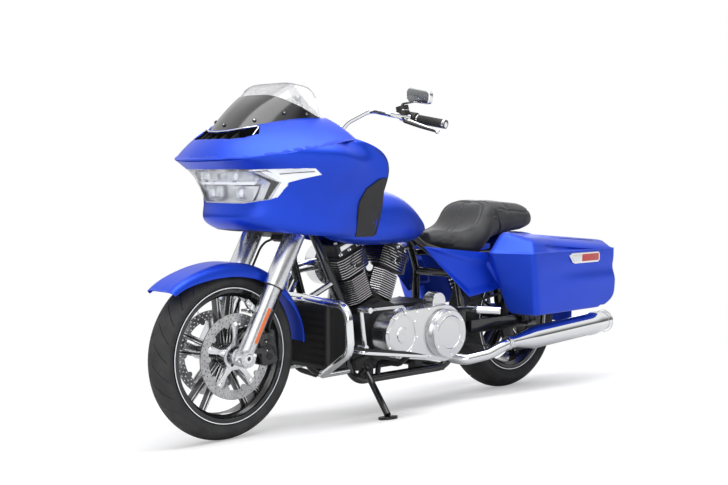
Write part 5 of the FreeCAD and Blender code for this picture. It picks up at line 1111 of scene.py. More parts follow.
def make_screen():
    """The smoked screen with its darkened foot and its screws."""
    fine = surface(screen_columns(), 61, 121)
    shares = np.linspace(0, 1, 61)
    rows = []
    for index, column in enumerate(fine):
        across = index / 60 - 1
        edge = 1 - 0.6 * (1 - abs(across) ** 2.4) - 0.1
        stops = np.concatenate([np.linspace(0, edge, 13), np.linspace(edge, 1, 11)[1:]])
        rows.append(np.stack([np.interp(stops, shares, column[:, axis]) for axis in range(3)], 1))
    rows = np.array(rows)
    clear, dark = Shell(), Shell()
    sheet_shell(clear, rows[:, :13], 3.6, (1, 0, 1))
    sheet_shell(dark, rows[:, 12:], 3.6, (1, 0, 1))
    finish("screen_clear", clear, "chassis", "smoked", ["windscreen"])
    finish("screen_dark", dark, "chassis", "gloss_black")
    rim = bent(fine[2:-2:4, 0] + (-0.5, 0, -0.6), 20)
    finish("screen_edge", Shell().tube(rim, 1.9, steps=10), "chassis", "smoked")
    bolts = []
    for index, place in ((10, 50), (24, 47), (40, 52), (60, 53), (80, 52), (96, 47), (110, 50)):
        spot = fine[index, place]
        a = fine[index + 1, place] - fine[index - 1, place]
        b = fine[index, place + 1] - fine[index, place - 1]
        way = unit(np.cross(a, b))
        way = way * (1 if way[0] > 0 else -1)
        bolts.append((spot + way * 1.2, tuple(way)))
    fasten("screen_bolts", bolts, "chassis", "black_plastic", "satin_black", 7.5, 4, 16)
    fasten("screen_caps", [(spot + np.array(way) * 2.4, way) for spot, way in bolts], "chassis", "chrome",
           "chrome", 3.4, 3, 6)


# Seat

SEAT_STATIONS = ((545, 0.34, 750, 692), (470, 0.64, 744, 664), (390, 0.92, 744, 644), (310, 1.0, 784, 656),
                 (250, 0.98, 855, 696), (200, 0.94, 865, 715), (110, 0.9, 858, 731), (10, 0.86, 850, 740),
                 (-60, 0.76, 832, 743), (-108, 0.42, 776, 746))


def closed(points, count):
    """A smooth closed loop through points."""
    points = np.asarray(points, float)
    return cubic(np.concatenate([points, points, points, points[:1]]), 3 * count + 1)[count:2 * count]


def seat_rows():
    """Rings round the seat from its nose to its tail."""
    rows = []
    for x, share, high, bottom in cubic(SEAT_STATIONS, 61):
        wide, deep = 172 * share - 4, high - bottom - 5
        high, bottom = high - 3, bottom + 2
        half = [(0, high), (wide * 0.6, high + 4 - deep * 0.06), (wide * 0.93, high - deep * 0.3),
                (wide, high - deep * 0.62), (wide * 0.9, bottom + deep * 0.08), (wide * 0.5, bottom),
                (0, bottom)]
        ring = closed(half + [(-y, z) for y, z in half[-2:0:-1]], 80)
        y, z = ring[:, 0], ring[:, 1]
        top = np.clip((z - bottom - deep * 0.5) / (deep * 0.3), 0, 1)
        dish = 17 * math.exp(-((x - 372) / 92) ** 2)
        roll = 7 * math.exp(-((x - 350) / 150) ** 2)
        z = z - top * dish * np.clip(1 - (y / (0.78 * wide)) ** 2, 0, 1)
        z = z + top * roll * np.exp(-((np.abs(y) - 0.8 * wide) / (0.13 * wide)) ** 2)
        rows.append(np.stack([np.full(len(ring), x), y, z], 1))
    return rows


PAD_VOXEL = 6.0
PAD_PRESSURE = 4.0
PAD_FRAMES = 20
PAD_PASSES = 6


def mesh_points(mesh):
    """The points of a mesh in metres."""
    spots = np.empty(len(mesh.vertices) * 3)
    mesh.vertices.foreach_get("co", spots)
    return spots.reshape(-1, 3)


def puff(mesh, cap):
    """An even mesh of a pad, swollen by its filling, each point by no more than the cap."""
    item = new_object("pad", mesh)
    even = item.modifiers.new("even", "REMESH")
    even.mode, even.voxel_size = "VOXEL", PAD_VOXEL / 1000
    item.data = evaluated(item)
    item.modifiers.clear()
    work = bmesh.new()
    work.from_mesh(item.data)
    for _ in range(PAD_PASSES):
        bmesh.ops.smooth_vert(work, verts=work.verts, factor=0.5, use_axis_x=True, use_axis_y=True,
                              use_axis_z=True)
    work.to_mesh(item.data)
    work.free()
    start = mesh_points(item.data)
    cloth = item.modifiers.new("cover", "CLOTH")
    cloth.settings.use_pressure = True
    cloth.settings.uniform_pressure_force = PAD_PRESSURE
    cloth.settings.effector_weights.gravity = 0
    for number in range(1, PAD_FRAMES + 1):
        bpy.context.scene.frame_set(number)
    swollen = evaluated(item)
    item.modifiers.clear()
    bpy.context.scene.frame_set(1)
    move = mesh_points(swollen) - start
    reach = np.linalg.norm(move, axis=1, keepdims=True) + 1e-9
    move *= np.minimum(1, cap / 1000 / reach)
    item.data.vertices.foreach_set("co", (start + move).ravel())
    smooth = item.modifiers.new("smooth", "SUBSURF")
    smooth.levels = smooth.render_levels = 1
    result = evaluated(item)
    bpy.data.objects.remove(item)
    return result


def channel(mesh, lines, depth, width):
    """Presses sewn channels into a pad along lines given in bike millimetres."""
    spots = mesh_points(mesh)
    normals = np.empty(len(mesh.vertices) * 3)
    mesh.vertices.foreach_get("normal", normals)
    gap = np.full(len(spots), 1.0)
    for line in lines:
        for spot in stand(line):
            np.minimum(gap, np.linalg.norm(spots - spot, axis=1), out=gap)
    push = depth / 1000 * np.exp(-(gap * 1000 / width) ** 2)
    mesh.vertices.foreach_set("co", (spots - normals.reshape(-1, 3) * push[:, None]).ravel())
    mesh.update()


def lay_on(mesh, plan, lift, toward=(0, 0, -1), start=(0, 0, 1200)):
    """Drops a plan line onto a mesh: bike millimetres in and out, with the normal there."""
    tree = BVHTree.FromPolygons([v.co for v in mesh.vertices], [p.vertices for p in mesh.polygons])
    way = Vector(np.asarray(toward, float) @ STANCE.T * 1000)
    back = np.linalg.inv(STANCE)
    spots, ways = [], []
    for point in plan:
        hit, normal, _, _ = tree.ray_cast(Vector(stand(np.asarray(point, float) + start)), way)
        if hit is None:
            continue
        place = (np.array(hit) - np.array(GROUND)) @ back.T
        up = np.array(normal) @ np.linalg.inv(STANCE * 1000).T
        spots.append(place + up * lift)
        ways.append(up)
    return np.array(spots), np.array(ways)


def even_line(points, pitch):
    """A smooth line through points, with even steps of about a pitch."""
    fine = cubic(points, 400)
    return spaced(fine, max(4, int(run_of(fine)[-1] / pitch)))


def make_seat():
    """A bucket for the rider and a pad behind it, sewn in panels."""
    shell = Shell().grid(seat_rows(), loop_across=True, caps=True)
    pad = puff(outward_mesh("seat_pad", stand(shell.spots()), shell.faces), 9)
    bowl = [(512, 0, 0), (498, 40, 0), (450, 78, 0), (380, 108, 0), (310, 116, 0), (262, 98, 0),
            (243, 50, 0), (240, 0, 0)]
    bowl = even_line(bowl + [(x, -y, 0) for x, y, _ in bowl[-2:0:-1]] + bowl[:1], 4)
    cross = even_line([(226, y, 0) for y in (-150, -75, 0, 75, 150)], 4)
    ribs = [even_line([(x, side * (10 + (x - 240) * 0.03), 0) for x in (244, 280, 330, 392)], 4)
            for side in (1, -1)]
    rear = even_line([(-62, -92, 0), (-40, -118, 0), (60, -128, 0), (190, -134, 0)], 4)
    rear = [rear * (1, side, 1) for side in (1, -1)]
    seams = [lay_on(pad, line, 0)[0] for line in [bowl, cross] + ribs + rear]
    sides = []
    for side in (1, -1):
        line = even_line([(x, side * 300, z) for x, z in ((226, 862), (214, 820), (196, 770), (176, 726))], 4)
        sides.append(lay_on(pad, line, 0, (0, -side, 0), (0, 0, 0))[0])
    channel(pad, seams[:1] + seams[2:], 3.0, 4.5)
    channel(pad, [seams[1]] + sides, 6.0, 5.0)
    shade(pad, 180)
    seat = add_object("seat_pad", pad, "chassis", "leather", ["seat"])
    stitch = Shell().revolve([(-2.6, 0.1), (-2.0, 0.55), (2.0, 0.55), (2.6, 0.1)], (0, 0, 0), (1, 0, 0), 8)
    places = []
    for line, shift in [(bowl, 6)] + [(rib, 4) for rib in ribs] + [(line, 5) for line in rear]:
        beside = line + np.cross(unit(np.gradient(line, axis=0)), (0, 0, 1)) * shift
        spots, ways = lay_on(pad, even_line(beside[::3], 6.5), 0.35)
        places += list(zip(spots, ways, np.gradient(spots, axis=0)))
    repeat("seat_stitches", stitch, places, "chassis", "seat_cover", "thread")


# Saddlebags and side covers

def round_plan(points, radius, per_arc=9, per_edge=16):
    """A closed plan with round corners and the same number of points every time."""
    points = [np.asarray(point, float) for point in points]
    loop = []
    for index, here in enumerate(points):
        before, after = points[index - 1], points[(index + 1) % len(points)]
        a, b = (before - here), (after - here)
        a, b = unit(a), unit(b)
        half = math.acos(np.dot(a, b)) / 2
        start, end = here + a * radius / math.tan(half), here + b * radius / math.tan(half)
        middle = here + unit(a + b) * radius / math.sin(half)
        first, last = start - middle, end - middle
        angle = math.atan2(first[0] * last[1] - first[1] * last[0], np.dot(first, last))
        for turn in np.linspace(0, angle, per_arc):
            c, s = math.cos(turn), math.sin(turn)
            loop.append(middle + (first[0] * c - first[1] * s, first[0] * s + first[1] * c))
        loop.append(end)
    corners = len(points)
    full = []
    for index in range(corners):
        chunk = loop[index * (per_arc + 1):index * (per_arc + 1) + per_arc]
        start, end = chunk[-1], loop[((index + 1) % corners) * (per_arc + 1)]
        full += chunk + [start * (1 - share) + end * share for share in np.linspace(0, 1, per_edge + 2)[1:-1]]
    return np.array(full)


# The lines of a bag's plan at its rim, and the plates of its side lamp: name, slot, material, set-out,
# depth, broken corner and its segments, outline in (x, z).

BAG_FRONT, BAG_CORNER, BAG_REAR, BAG_INNER, BAG_OUTER = 395, 305, -455, 224, 424
BAG_LAMP = (
    ("bezel", "chrome", "chrome", 0, 7, 3, 4, [(-182, 604), (-182, 634), (-172, 643), (32, 643), (52, 632),
                                               (28, 602), (12, 595), (-170, 595)]),
    ("clear", "lamp_glass", "reflector", 5, 5.5, 2, 3, [(-36, 603), (-36, 635), (24, 635), (37, 630),
                                                        (20, 606), (8, 603)]),
    ("red", "lamp_red", "red", 5, 5, 2, 3, [(-170, 603), (-170, 635), (-46, 635), (-46, 603)]))


def bag_plan(front=0.0, corner=0.0, rear=0.0, inner=0.0, outer=0.0, grow=0.0):
    """A bag's plan with its lines drawn in one by one, then all of it grown."""
    front, corner, rear = BAG_FRONT - front + grow, BAG_CORNER - corner + grow, BAG_REAR + rear - grow
    inner, outer = BAG_INNER + inner - grow, BAG_OUTER - outer + grow
    points = [(front, inner), (corner, outer), (rear + 150, outer - 14), (rear, inner + 26 + grow * 0.5)]
    return round_plan(points, max(5, 26 + grow * 0.5))


def step(value, low, high):
    """A soft step from 0 to 1."""
    share = np.clip((value - low) / (high - low), 0, 1)
    return share * share * (3 - 2 * share)


def bag_rows():
    """Loops over a bag's floor and wall to its rim, and back down inside."""
    levels = cubic([(-270, 145, 62, 60), (-220, 112, 50, -29), (-120, 60, 26, -17), (0, 0, 0, 0)], 25)

    def loop(level, inset, lift=0.0):
        drop, front_back, corner_back, rear_on = level
        narrow = max(0.0, -drop / 270) ** 1.6
        plan = bag_plan(front_back, corner_back, rear_on, 8 * narrow, 30 * narrow, -inset)
        z = np.full(len(plan), 650 + drop + lift)
        side = step(plan[:, 1], 350, 392) * step(-plan[:, 0], -250, 60)
        fold = 7 * np.exp(-((z - 566) / 30) ** 2) - 3.5 * np.exp(-((z - 508) / 26) ** 2)
        plan[:, 1] -= side * fold
        return np.column_stack([plan, z])

    outer = [loop(levels[0], inset) for inset in (84, 60, 34)]
    outer += [loop(levels[0], 14 * (1 - math.sin(turn)), 14 * (1 - math.cos(turn)))
              for turn in np.linspace(0, 1.57, 6)]
    outer += [loop(level, 0) for level in levels[2:]]
    inner = [loop(level, 4) for level in levels[:1:-1]]
    inner += [loop(levels[0], 4 + 12 * (1 - math.cos(turn)), 16 - 12 * math.sin(turn))
              for turn in np.linspace(0, 1.57, 5)]
    inner += [loop(levels[0], inset, 4) for inset in (34, 60, 84)]
    return outer + inner


def lid_rows():
    """Loops over a lid's crown and wall to its rim, and back up inside."""
    def plan(crown, grow):
        return bag_plan(60 * crown, 60 * crown, 60 * crown, 22 * crown, 60 * crown, grow)
    base, taper = plan(0, 0), plan(1, 0) - plan(0, 0)
    inward = {inset: plan(0, -inset) - base for inset in (4, 30, 52, 72, 86)}

    def ceiling(spot):
        return 750 + 0.0857 * (spot[:, 0] - 340) - 0.1897 * (spot[:, 1] - 230)

    def loop(share, inset, drop, way, hollow=0.0):
        spot = base.copy()
        for _ in range(4):
            high = np.clip(ceiling(spot), 660, 760) - drop
            z = 650.5 + (high - 650.5) * share
            crown = 0.0096 * (z - 650)
            spot = base + taper * crown[:, None] + way * inset
        scoop = step(spot[:, 1], 330, 372) * step(-spot[:, 0], -215, -120) * (1 - step(-spot[:, 0], 330, 440))
        spot[:, 1] -= 16 * hollow * scoop
        return np.column_stack([spot, z])

    def half(wall):
        round_edge = 26.0
        rows = []
        for inset, key in ((86, 86), (72, 72), (52, 52), (34, 30)):
            rows.append(loop(1, (inset + wall) / key, wall, inward[key]))
        for turn in np.linspace(1.4, 0, 7):
            fall = round_edge * (1 - math.sin(turn))
            hollow = 0.1 + 0.45 * (1 - turn / 1.4)
            inset = (round_edge * (1 - math.cos(turn)) + wall) / 30
            rows.append(loop(0.999, inset, fall * 0.8 + wall, inward[30], hollow))
        for share, hollow in ((0.86, 0.75), (0.72, 0.95), (0.58, 1), (0.44, 0.85), (0.3, 0.5), (0.2, 0.2),
                              (0.13, 0), (0.11, 0), (0, 0)):
            row = loop(share, wall / 30, 18, inward[30], hollow)
            if share < 0.12 and not wall:
                row[:, :2] -= inward[30] / 30 * 2.0
            rows.append(row)
        return rows
    return half(0) + half(4)[::-1]


def bag_side(x):
    """The y of a bag's outer side at a place along it."""
    return BAG_OUTER - 14 * (BAG_CORNER - x) / (BAG_CORNER - BAG_REAR - 150) - 1.2


def make_bags():
    """Painted bags and lids with their seams, side lamps and latches."""
    bag, lid = np.array(bag_rows()), np.array(lid_rows())
    rim, inner = bag_plan(grow=-5), bag_plan(grow=-9)
    section = ((rim, 640), (rim, 649.6), (inner, 649.6), (inner, 640))
    for name, side in (("left", 1), ("right", -1)):
        flip = (1, side, 1)
        for kind, rows, node, body in (("bag", bag, f"saddlebag_{name}", "chassis"),
                                       ("lid", lid, f"saddlebag_lid_{name}", f"saddlebag_lid_{name}")):
            finish(f"{kind}_{name}", Shell().grid(rows * flip, loop_across=True, caps=True), body,
                   "blue", [node], sharp=50)
        seal = Shell().grid([np.column_stack([plan, np.full(len(plan), z)]) * flip for plan, z in section],
                            loop_across=True, loop_along=True)
        finish(f"bag_seal_{name}", seal, "chassis", "rubber")
        for kind, slot, material, lift, depth, bevel, segments, outline in BAG_LAMP:
            plate = [np.array([x, bag_side(x) + lift, z]) * flip for x, z in outline]
            finish(f"bag_lamp_{kind}_{name}", Shell().prism(plate, (0, side * depth, 0)), "chassis",
                   material, bevel=bevel, segments=segments)
        latch = [np.array([x, 221, z]) * flip for x, z in ((120, 622), (120, 640), (160, 640), (160, 622))]
        finish(f"bag_latch_{name}", Shell().prism(latch, (0, side * 5, 0)), "chassis", "chrome",
               bevel=1.5, segments=3)


def make_side_covers():
    """Panels with a raised upper edge over a shallow dish."""
    shell = Shell()
    for side in (1, -1):
        rows = []
        for x in np.linspace(678, 264, 61):
            top = np.interp(x, (260, 340, 682), (492, 648, 688))
            low = np.interp(x, (260, 440, 624, 682), (492, 462, 630, 688))
            column = []
            for share in np.linspace(0, 1, 31):
                z = top + (low - top) * share
                edge = min(1.0, (678 - x) / 60, (x - 262) / 34)
                dish = step(share, 0.16, 0.34) * (1 - step(share, 0.8, 1.0)) * max(0.0, edge)
                ridge = math.exp(-((share - 0.17) / 0.07) ** 2) * max(0.0, edge)
                rim = math.exp(-(min(share, 1 - share) / 0.05) ** 2)
                y = 156.5 + 0.1763 * (600 - x) - 11 * dish + 3 * ridge - 2.5 * rim
                column.append((x, side * y, z))
            rows.append(column)
        sheet_shell(shell, rows, 4, (0.2, side, 0))
    finish("side_cover_panels", shell, "chassis", "blue", ["side_covers"], sharp=60)


# Engine and exhaust

CRANK = np.array([900.0, 0, 350])
VEE = math.radians(22.5)
CYLINDERS = {"front": 1, "rear": -1}
DERBY = np.array([650.0, 262, 331])
PRIMARY_FRONT = np.array([900.0, 230, 345])
CAM_CENTRE = np.array([900.0, -186, 356])
AIR_CENTRE = np.array([906.0, -262, 612])
MUFFLER_FRONT = np.array([300.0, 293, 263])
MUFFLER_REAR = np.array([-400.0, 301, 300])


def on_cylinder(hand, x, y, z):
    """A place in a cylinder's own frame, whose z runs up its bore from the crank."""
    turn = VEE * hand
    return CRANK + (x * math.cos(turn) + z * math.sin(turn), y, z * math.cos(turn) - x * math.sin(turn))


def make_cylinders():
    """Black cylinders whose fins have bright machined edges, with head and rocker bolts and plugs."""
    for name, hand in CYLINDERS.items():
        dress(f"{name}_cylinder", "engine_black", 0.4)
        edges, plugs, leads, bolts = Shell(), Shell(), Shell(), []
        axis = on_cylinder(hand, 0, 0, 1) - on_cylinder(hand, 0, 0, 0)
        barrel = [(73, -40), (73, 40), (40, 73), (-40, 73), (-73, 40), (-73, -40), (-40, -73), (40, -73)]
        head = [(80, -66), (80, 66), (56, 80), (-56, 80), (-80, 66), (-80, -66), (-56, -80), (56, -80)]
        fins = [(144 + 9.2 * index, barrel) for index in range(12)]
        fins += [(268 + 10.58 * index, head) for index in range(8)]
        for low, outline in fins:
            vee = (3 - low * math.sin(VEE)) / math.cos(VEE)
            outline = [(hand * max(hand * x, vee), y * 1.007) for x, y in outline]
            ring = [on_cylinder(hand, x * 1.007, y, low + 0.8) for x, y in outline]
            edges.prism(ring, axis * 2.0)
        for side in (1, -1):
            seat_of_plug = on_cylinder(hand, 10, side * 74, 300)
            plugs.rod(seat_of_plug, seat_of_plug + (0, side * 16, 0), 11, steps=6)
            plugs.rod(seat_of_plug + (0, side * 15, 0), seat_of_plug + (0, side * 22, 0), 8)
            cap = seat_of_plug + (0, side * 21, 0)
            lead = bent([cap, cap + (0, side * 24, 6), cap + (-hand * 30, side * 14, 60),
                         cap + (-hand * 44, -side * 40, 96)], 20)
            leads.rod(cap, cap + (0, side * 20, 4), 8.5, end_radius=7)
            leads.tube(lead, 4)
        for x in (-48, 48):
            for y in (-54, 54):
                bolts.append((on_cylinder(hand, x, y, 414.5), tuple(axis)))
        for x in (-50, 0, 50):
            bolts.append((on_cylinder(hand, x, 67.2, 366), (0, 1, 0)))
            bolts.append((on_cylinder(hand, x, -67.2, 366), (0, -1, 0)))
        finish(f"{name}_fin_edges", edges, "chassis", "machined")
        finish(f"{name}_plugs", plugs, "chassis", "chrome", bevel=0.8)
        finish(f"{name}_leads", leads, "chassis", "rubber", bevel=0.6)
        fasten(f"{name}_rocker_bolts", bolts, "chassis", "engine_black", "chrome", 6.5, 6, 6)
        fasten(f"{name}_rocker_washers", [(spot - np.array(way), way) for spot, way in bolts], "chassis",
               "engine_black", "machined", 9, 2.4, 20)
    dress("rocker_covers", "engine_black", 4, segments=3)
    trim = Shell()
    for hand in CYLINDERS.values():
        for side in (1, -1):
            shape = [(-44, 376), (44, 376), (44, 396), (-44, 396)]
            trim.prism([on_cylinder(hand, x, side * 66.5, z) for x, z in shape], (0, side * 2.2, 0))
    finish("rocker_bands", trim, "chassis", "machined", bevel=0.8)


def make_covers():
    """The primary, clutch, cam and air cleaner covers with their rings and bolts."""
    dress("primary_cover", "cover", 7, segments=4)
    dress("cam_cover", "cover", 3, segments=3)
    dress("air_cleaner", "chrome", 4, segments=3)
    rings, dark = Shell(), Shell()
    rings.revolve([(-2, 60), (1.6, 62), (2.2, 64), (2.2, 74), (1.2, 76), (-2, 78)], DERBY, steps=96)
    rings.revolve([(-6, 98.2), (-6, 100.5), (-9, 102), (-12, 102), (-12, 98)], DERBY, steps=96)
    rings.revolve([(-2, 70), (1.5, 72), (1.5, 78), (-2, 80)], PRIMARY_FRONT, steps=72)
    rings.revolve([(-2, 0.5), (2, 0.5), (4, 20), (3, 30), (-2, 34)], PRIMARY_FRONT, steps=48)
    rings.revolve([(-2, 62), (-2, 68), (2, 67), (2, 63)], CAM_CENTRE, (0, -1, 0), 72)
    rings.revolve([(-2, 70), (-2, 82), (3, 80), (3, 72)], AIR_CENTRE, (0, -1, 0), 80)
    dark.revolve([(-4, 0.5), (2.4, 0.5), (2.4, 58), (-4, 60)], AIR_CENTRE, (0, -1, 0), 64)
    finish("cover_rings", rings, "chassis", "cover")
    finish("air_cleaner_insert", dark, "chassis", "gloss_black", bevel=1)
    flange = facing(turned(PRIMARY_FRONT, 86, 8, 0.2), (0, 1, 0))
    flange += [(np.array([x, 230, z]), (0, 1, 0))
               for x, z in ((815, 430), (745, 436), (812, 254), (738, 243))]
    for name, places, radius, height in (
            ("derby_bolts", facing(turned(DERBY, 88, 6, 0.45), (0, 1, 0)), 6.5, 4),
            ("primary_bolts", flange, 6, 4.5),
            ("cam_bolts", facing(turned(CAM_CENTRE, 77, 9, 0.3), (0, -1, 0)), 5.5, 4),
            ("air_cleaner_bolts", facing(turned(AIR_CENTRE, 50, 3, 0.5, -2.4), (0, -1, 0)), 5.5, 4)):
        fasten(name, places, "chassis", "cover_chrome", "chrome", radius, height, 20)


def make_exhaust():
    """Clamps and dark outlets of the exhaust."""
    dress("exhaust_pipes", "chrome", 0.4)
    dress("mufflers", "chrome", 0.4)
    clamps, dark = Shell(), Shell()
    for side in (1, -1):
        flip = np.array([1, side, 1])
        way = unit((MUFFLER_REAR - MUFFLER_FRONT) * flip)
        front, rear = MUFFLER_FRONT * flip, MUFFLER_REAR * flip
        clamps.revolve([(4, 26), (4, 31), (20, 31), (20, 26)], front - way * 26, way, 40)
        clamps.revolve([(0, 50.4), (0, 51.6), (7, 51.6), (7, 50.4)], rear - way * 16, way, 64)
        clamps.rod(front + (0, side * 30, -4) - way * 14, front + (0, side * 30, 14) - way * 14, 5, steps=6)
        dark.revolve([(-60, 0.5), (-62, 40), (-60, 44), (-56, 0.5)], rear, way, 48)
    finish("exhaust_clamps", clamps, "chassis", "machined", bevel=0.5)
    finish("muffler_baffles", dark, "chassis", "satin_black")


# Rider's controls and chassis trim

GRIP_END = np.array([904.0, 458, 1180])
GRIP_BEND = np.array([936.0, 322, 1206])
GRIP_WAY = unit(GRIP_END - GRIP_BEND)
GRIP_START = GRIP_END - GRIP_WAY * 128
MIRROR_CENTRE = np.array([954.6, 382, 1288])


def make_controls():
    """Ribbed grips in bright rings, switches, chrome levers, and glass in the mirrors."""
    dress("handlebar", "chrome", 0.4)
    dress("controls", "satin_black", 1.2, segments=3)
    dress("mirrors", "chrome", 2, segments=3)
    rings, glass, levers, buttons = Shell(), Shell(), Shell(), Shell()
    ribs = []
    pivot = GRIP_START - GRIP_WAY * 30 + (34, 0, -6)
    tip = pivot + GRIP_WAY * 158 + (12, 0, -22)
    for side in (1, -1):
        flip = np.array([1, side, 1])
        start, way = GRIP_START * flip, GRIP_WAY * flip
        for along in (3, 119):
            rings.revolve([(0, 16.8), (0, 18.6), (6, 18.6), (6, 16.8)], start + way * along, way, 36)
        rings.revolve([(0, 0.5), (0, 17.4), (3, 16.4), (5, 12), (5.5, 0.5)], start + way * 127.4, way, 36)
        for index in range(14):
            ribs.append((start + way * (14 + index * 7.6), way, (1, 0, 0)))
        lever = [(pivot + (2, -4, 0)) * flip, (pivot * 0.7 + tip * 0.3 + (5, 0, 2)) * flip, tip * flip]
        lever = bent(lever, 60, 12)
        levers.tube(lever, np.linspace(7.4, 6.4, len(lever)))
        levers.revolve([(-9.6, 0.3), (-8, 5.4), (-4, 8.8), (0, 9.6), (4, 8.8), (8, 5.4), (9.6, 0.3)],
                       tip * flip, way, 28)
        top = (GRIP_START - GRIP_WAY * 32 + (34, 0, 10)) * flip
        rings.revolve([(16.4, 0.5), (16.4, 23), (17.4, 24.5), (19.6, 24.5), (20.4, 22), (20.4, 0.5)], top,
                      (0, 0, 1), 40)
        for shift, wide in ((-10, 6), (4, 8)):
            spot = start - way * (22 - shift) + (-23.5, 0, 4)
            buttons.rod(spot, spot + (-3.4, 0, 0), wide, steps=24)
        outline = [(-66, 42), (60, 18), (58, -36), (-62, -18)]
        plan = round_plan([np.array(point) * 0.94 for point in outline[::-1]], 16)
        glass.prism([(MIRROR_CENTRE + (0, y, z)) * flip for y, z in plan], (-0.9, 0, 0))
    rib = Shell().revolve([(-1.5, 16.7), (-1.1, 17.9), (1.1, 17.9), (1.5, 16.7)], (0, 0, 0), (0, 0, 1), 28)
    repeat("grip_ribs", rib, ribs, "steering", "black_plastic", "rubber")
    finish("grip_rings", rings, "steering", "chrome", bevel=0.3)
    finish("lever_blades", levers, "steering", "chrome")
    finish("switch_buttons", buttons, "steering", "plastic", bevel=0.6)
    finish("mirror_glass", glass, "steering", "mirror", bevel=0.3)


def make_cooler():
    """The oil cooler with its fins."""
    dress("oil_cooler", "plastic", 2, segments=3)
    vanes = []
    for index in range(13):
        for side in (1, -1):
            vanes.append((np.array([1144.0 + index * 6.2, side * 151.2, 358]), (0, 0, 1), (1, 0, 0)))
    for index in range(44):
        vanes.append((np.array([1233.0, -138 + index * 6.4, 358]), (0, 0, 1), (0, 1, 0)))
    repeat("cooler_fins", box_shell((1.6, 3.6, 224)), vanes, "chassis", "black_plastic", "satin_black")


def make_boards():
    """The floorboards with ribbed rubber pads and bright edges."""
    dress("floorboards", "satin_black", 2, segments=3)
    turn = math.radians(-8.3)
    ahead = np.array([math.cos(turn), 0, -math.sin(turn)])
    up = np.array([math.sin(turn), 0, math.cos(turn)])
    pads, strips, edges = Shell(), [], Shell()
    for side in (1, -1):
        heart = np.array([1081.0, side * 320, 300])
        top = heart + up * 6.7
        outline = round_plan([(-160, -50), (-160, 50), (150, 46), (150, -50)][::-1], 24)
        pads.prism([top + ahead * x + (0, y, 0) for x, y in outline], up * 2.6)
        plan = round_plan([(-178, -58), (-178, 58), (178, 58), (178, -58)][::-1], 26)
        ring = [[heart + ahead * x * grown + (0, y * grown_y, 0) + up * lift for x, y in plan]
                for grown, grown_y, lift in ((1, 1, -5), (1, 1, 6.5), (1.018, 1.05, 6.5), (1.018, 1.05, -5))]
        edges.grid(ring, loop_across=True, loop_along=True)
        for index in range(11):
            strips.append((top + ahead * (-125 + index * 25) + up * 2.8, tuple(up), tuple(ahead)))
    finish("board_pads", pads, "chassis", "rubber", bevel=1)
    finish("board_edges", edges, "chassis", "chrome", bevel=0.8)
    repeat("board_ribs", box_shell((7, 78, 4)), strips, "chassis", "belt_rubber", "rubber")


def make_shocks():
    """The rear shocks with their springs."""
    dress("rear_shocks", "gloss_black", 1)
    springs = Shell()
    for side in (1, -1):
        low, high = np.array([60.0, side * 184, 327.6]), np.array([190.0, side * 184, 600])
        axis = unit(high - low)
        across = np.array([0, 1.0, 0])
        over = np.cross(axis, across)
        turns = np.linspace(0, 9 * 2 * math.pi, 9 * 20)
        reach = np.linspace(60, 240, len(turns))
        coil = np.cos(turns)[:, None] * across + np.sin(turns)[:, None] * over
        springs.tube(low + reach[:, None] * axis + 22 * coil, 4.2, steps=8)
    finish("shock_springs", springs, "chassis", "chrome")


def make_tank():
    """The tank with its cap."""
    dress("fuel_tank", "blue", 3, segments=3)
    cap = Shell()
    cap.revolve([(-3, 33), (2, 33.5), (4, 31), (4, 26), (6.5, 24), (7.4, 18), (7.8, 0.5), (-3, 0.5)],
                (905, 0, 930), (0, 0, 1), 56)
    cap.revolve([(-1, 33.5), (-1, 38), (1.4, 37), (2, 33.5)], (905, 0, 925), (0, 0, 1), 56)
    finish("tank_cap", cap, "chassis", "chrome", bevel=0.4)


def make_tail_lamps():
    """The tail lamps with their bezels and lenses."""
    dress("tail_lamps", "gloss_black", 1.5)
    bezels, lenses = Shell(), Shell()
    for side in (1, -1):
        spot = np.array([-355.0, side * 128, 601])
        bezels.revolve([(-14, 27.2), (-14, 29), (1.5, 29.4), (3, 27), (1.5, 23.6), (-2, 23.6), (-2, 27.2)],
                       spot, (-1, 0, 0), 48)
        lenses.revolve([(-1, 24.4), (1.2, 23.8), (4.6, 17), (6.2, 9), (6.6, 0.4), (-1, 0.4)],
                       spot, (-1, 0, 0), 48)
    finish("tail_bezels", bezels, "chassis", "chrome")
    finish("tail_lenses", lenses, "chassis", "red")


def make_chassis_trim():
    """The guard with its bolts, the belt, the pedals and the pegs."""
    dress("engine_guard", "chrome", 0.4)
    dress("drive_belt", "rubber", 0.4)
    dress("foot_controls", "chrome", 1.2, segments=3)
    dress("passenger_pegs", "chrome", 1.2, segments=3)
    clamps = []
    for side in (1, -1):
        for x, z in ((1249, 507), (1240, 214)):
            clamps.append((np.array([x + 18.0, side * 36.0 if z > 300 else side * 126.0, z]), (1, 0, 0)))
    fasten("guard_bolts", clamps, "chassis", "chrome", "chrome", 7, 6, 6)


# Settings

class CruiserLooks(bpy.types.PropertyGroup):
    """The colour that a user may change before the pieces are made."""

    paint: bpy.props.FloatVectorProperty(
        name="Paint", description="Body colour", subtype="COLOR", size=3, default=(0.006, 0.066, 0.74),
        min=0.0, max=1.0)


class CRUISER_OT_materials(bpy.types.Operator):
    """Makes the finishes"""

    bl_idname = "cruiser.materials"
    bl_label = "Finishes"

    def execute(self, context):
        make_materials(context.scene.cruiser_looks)
        return {"FINISHED"}


class CRUISER_OT_wheels(bpy.types.Operator):
    """Makes both tyres, the trim of the rims and the brake discs"""

    bl_idname = "cruiser.wheels"
    bl_label = "Wheels"

    def execute(self, context):
        for end in WHEELS:
            make_tyre(end)
            make_rim_trim(end)
        make_discs()
        return {"FINISHED"}


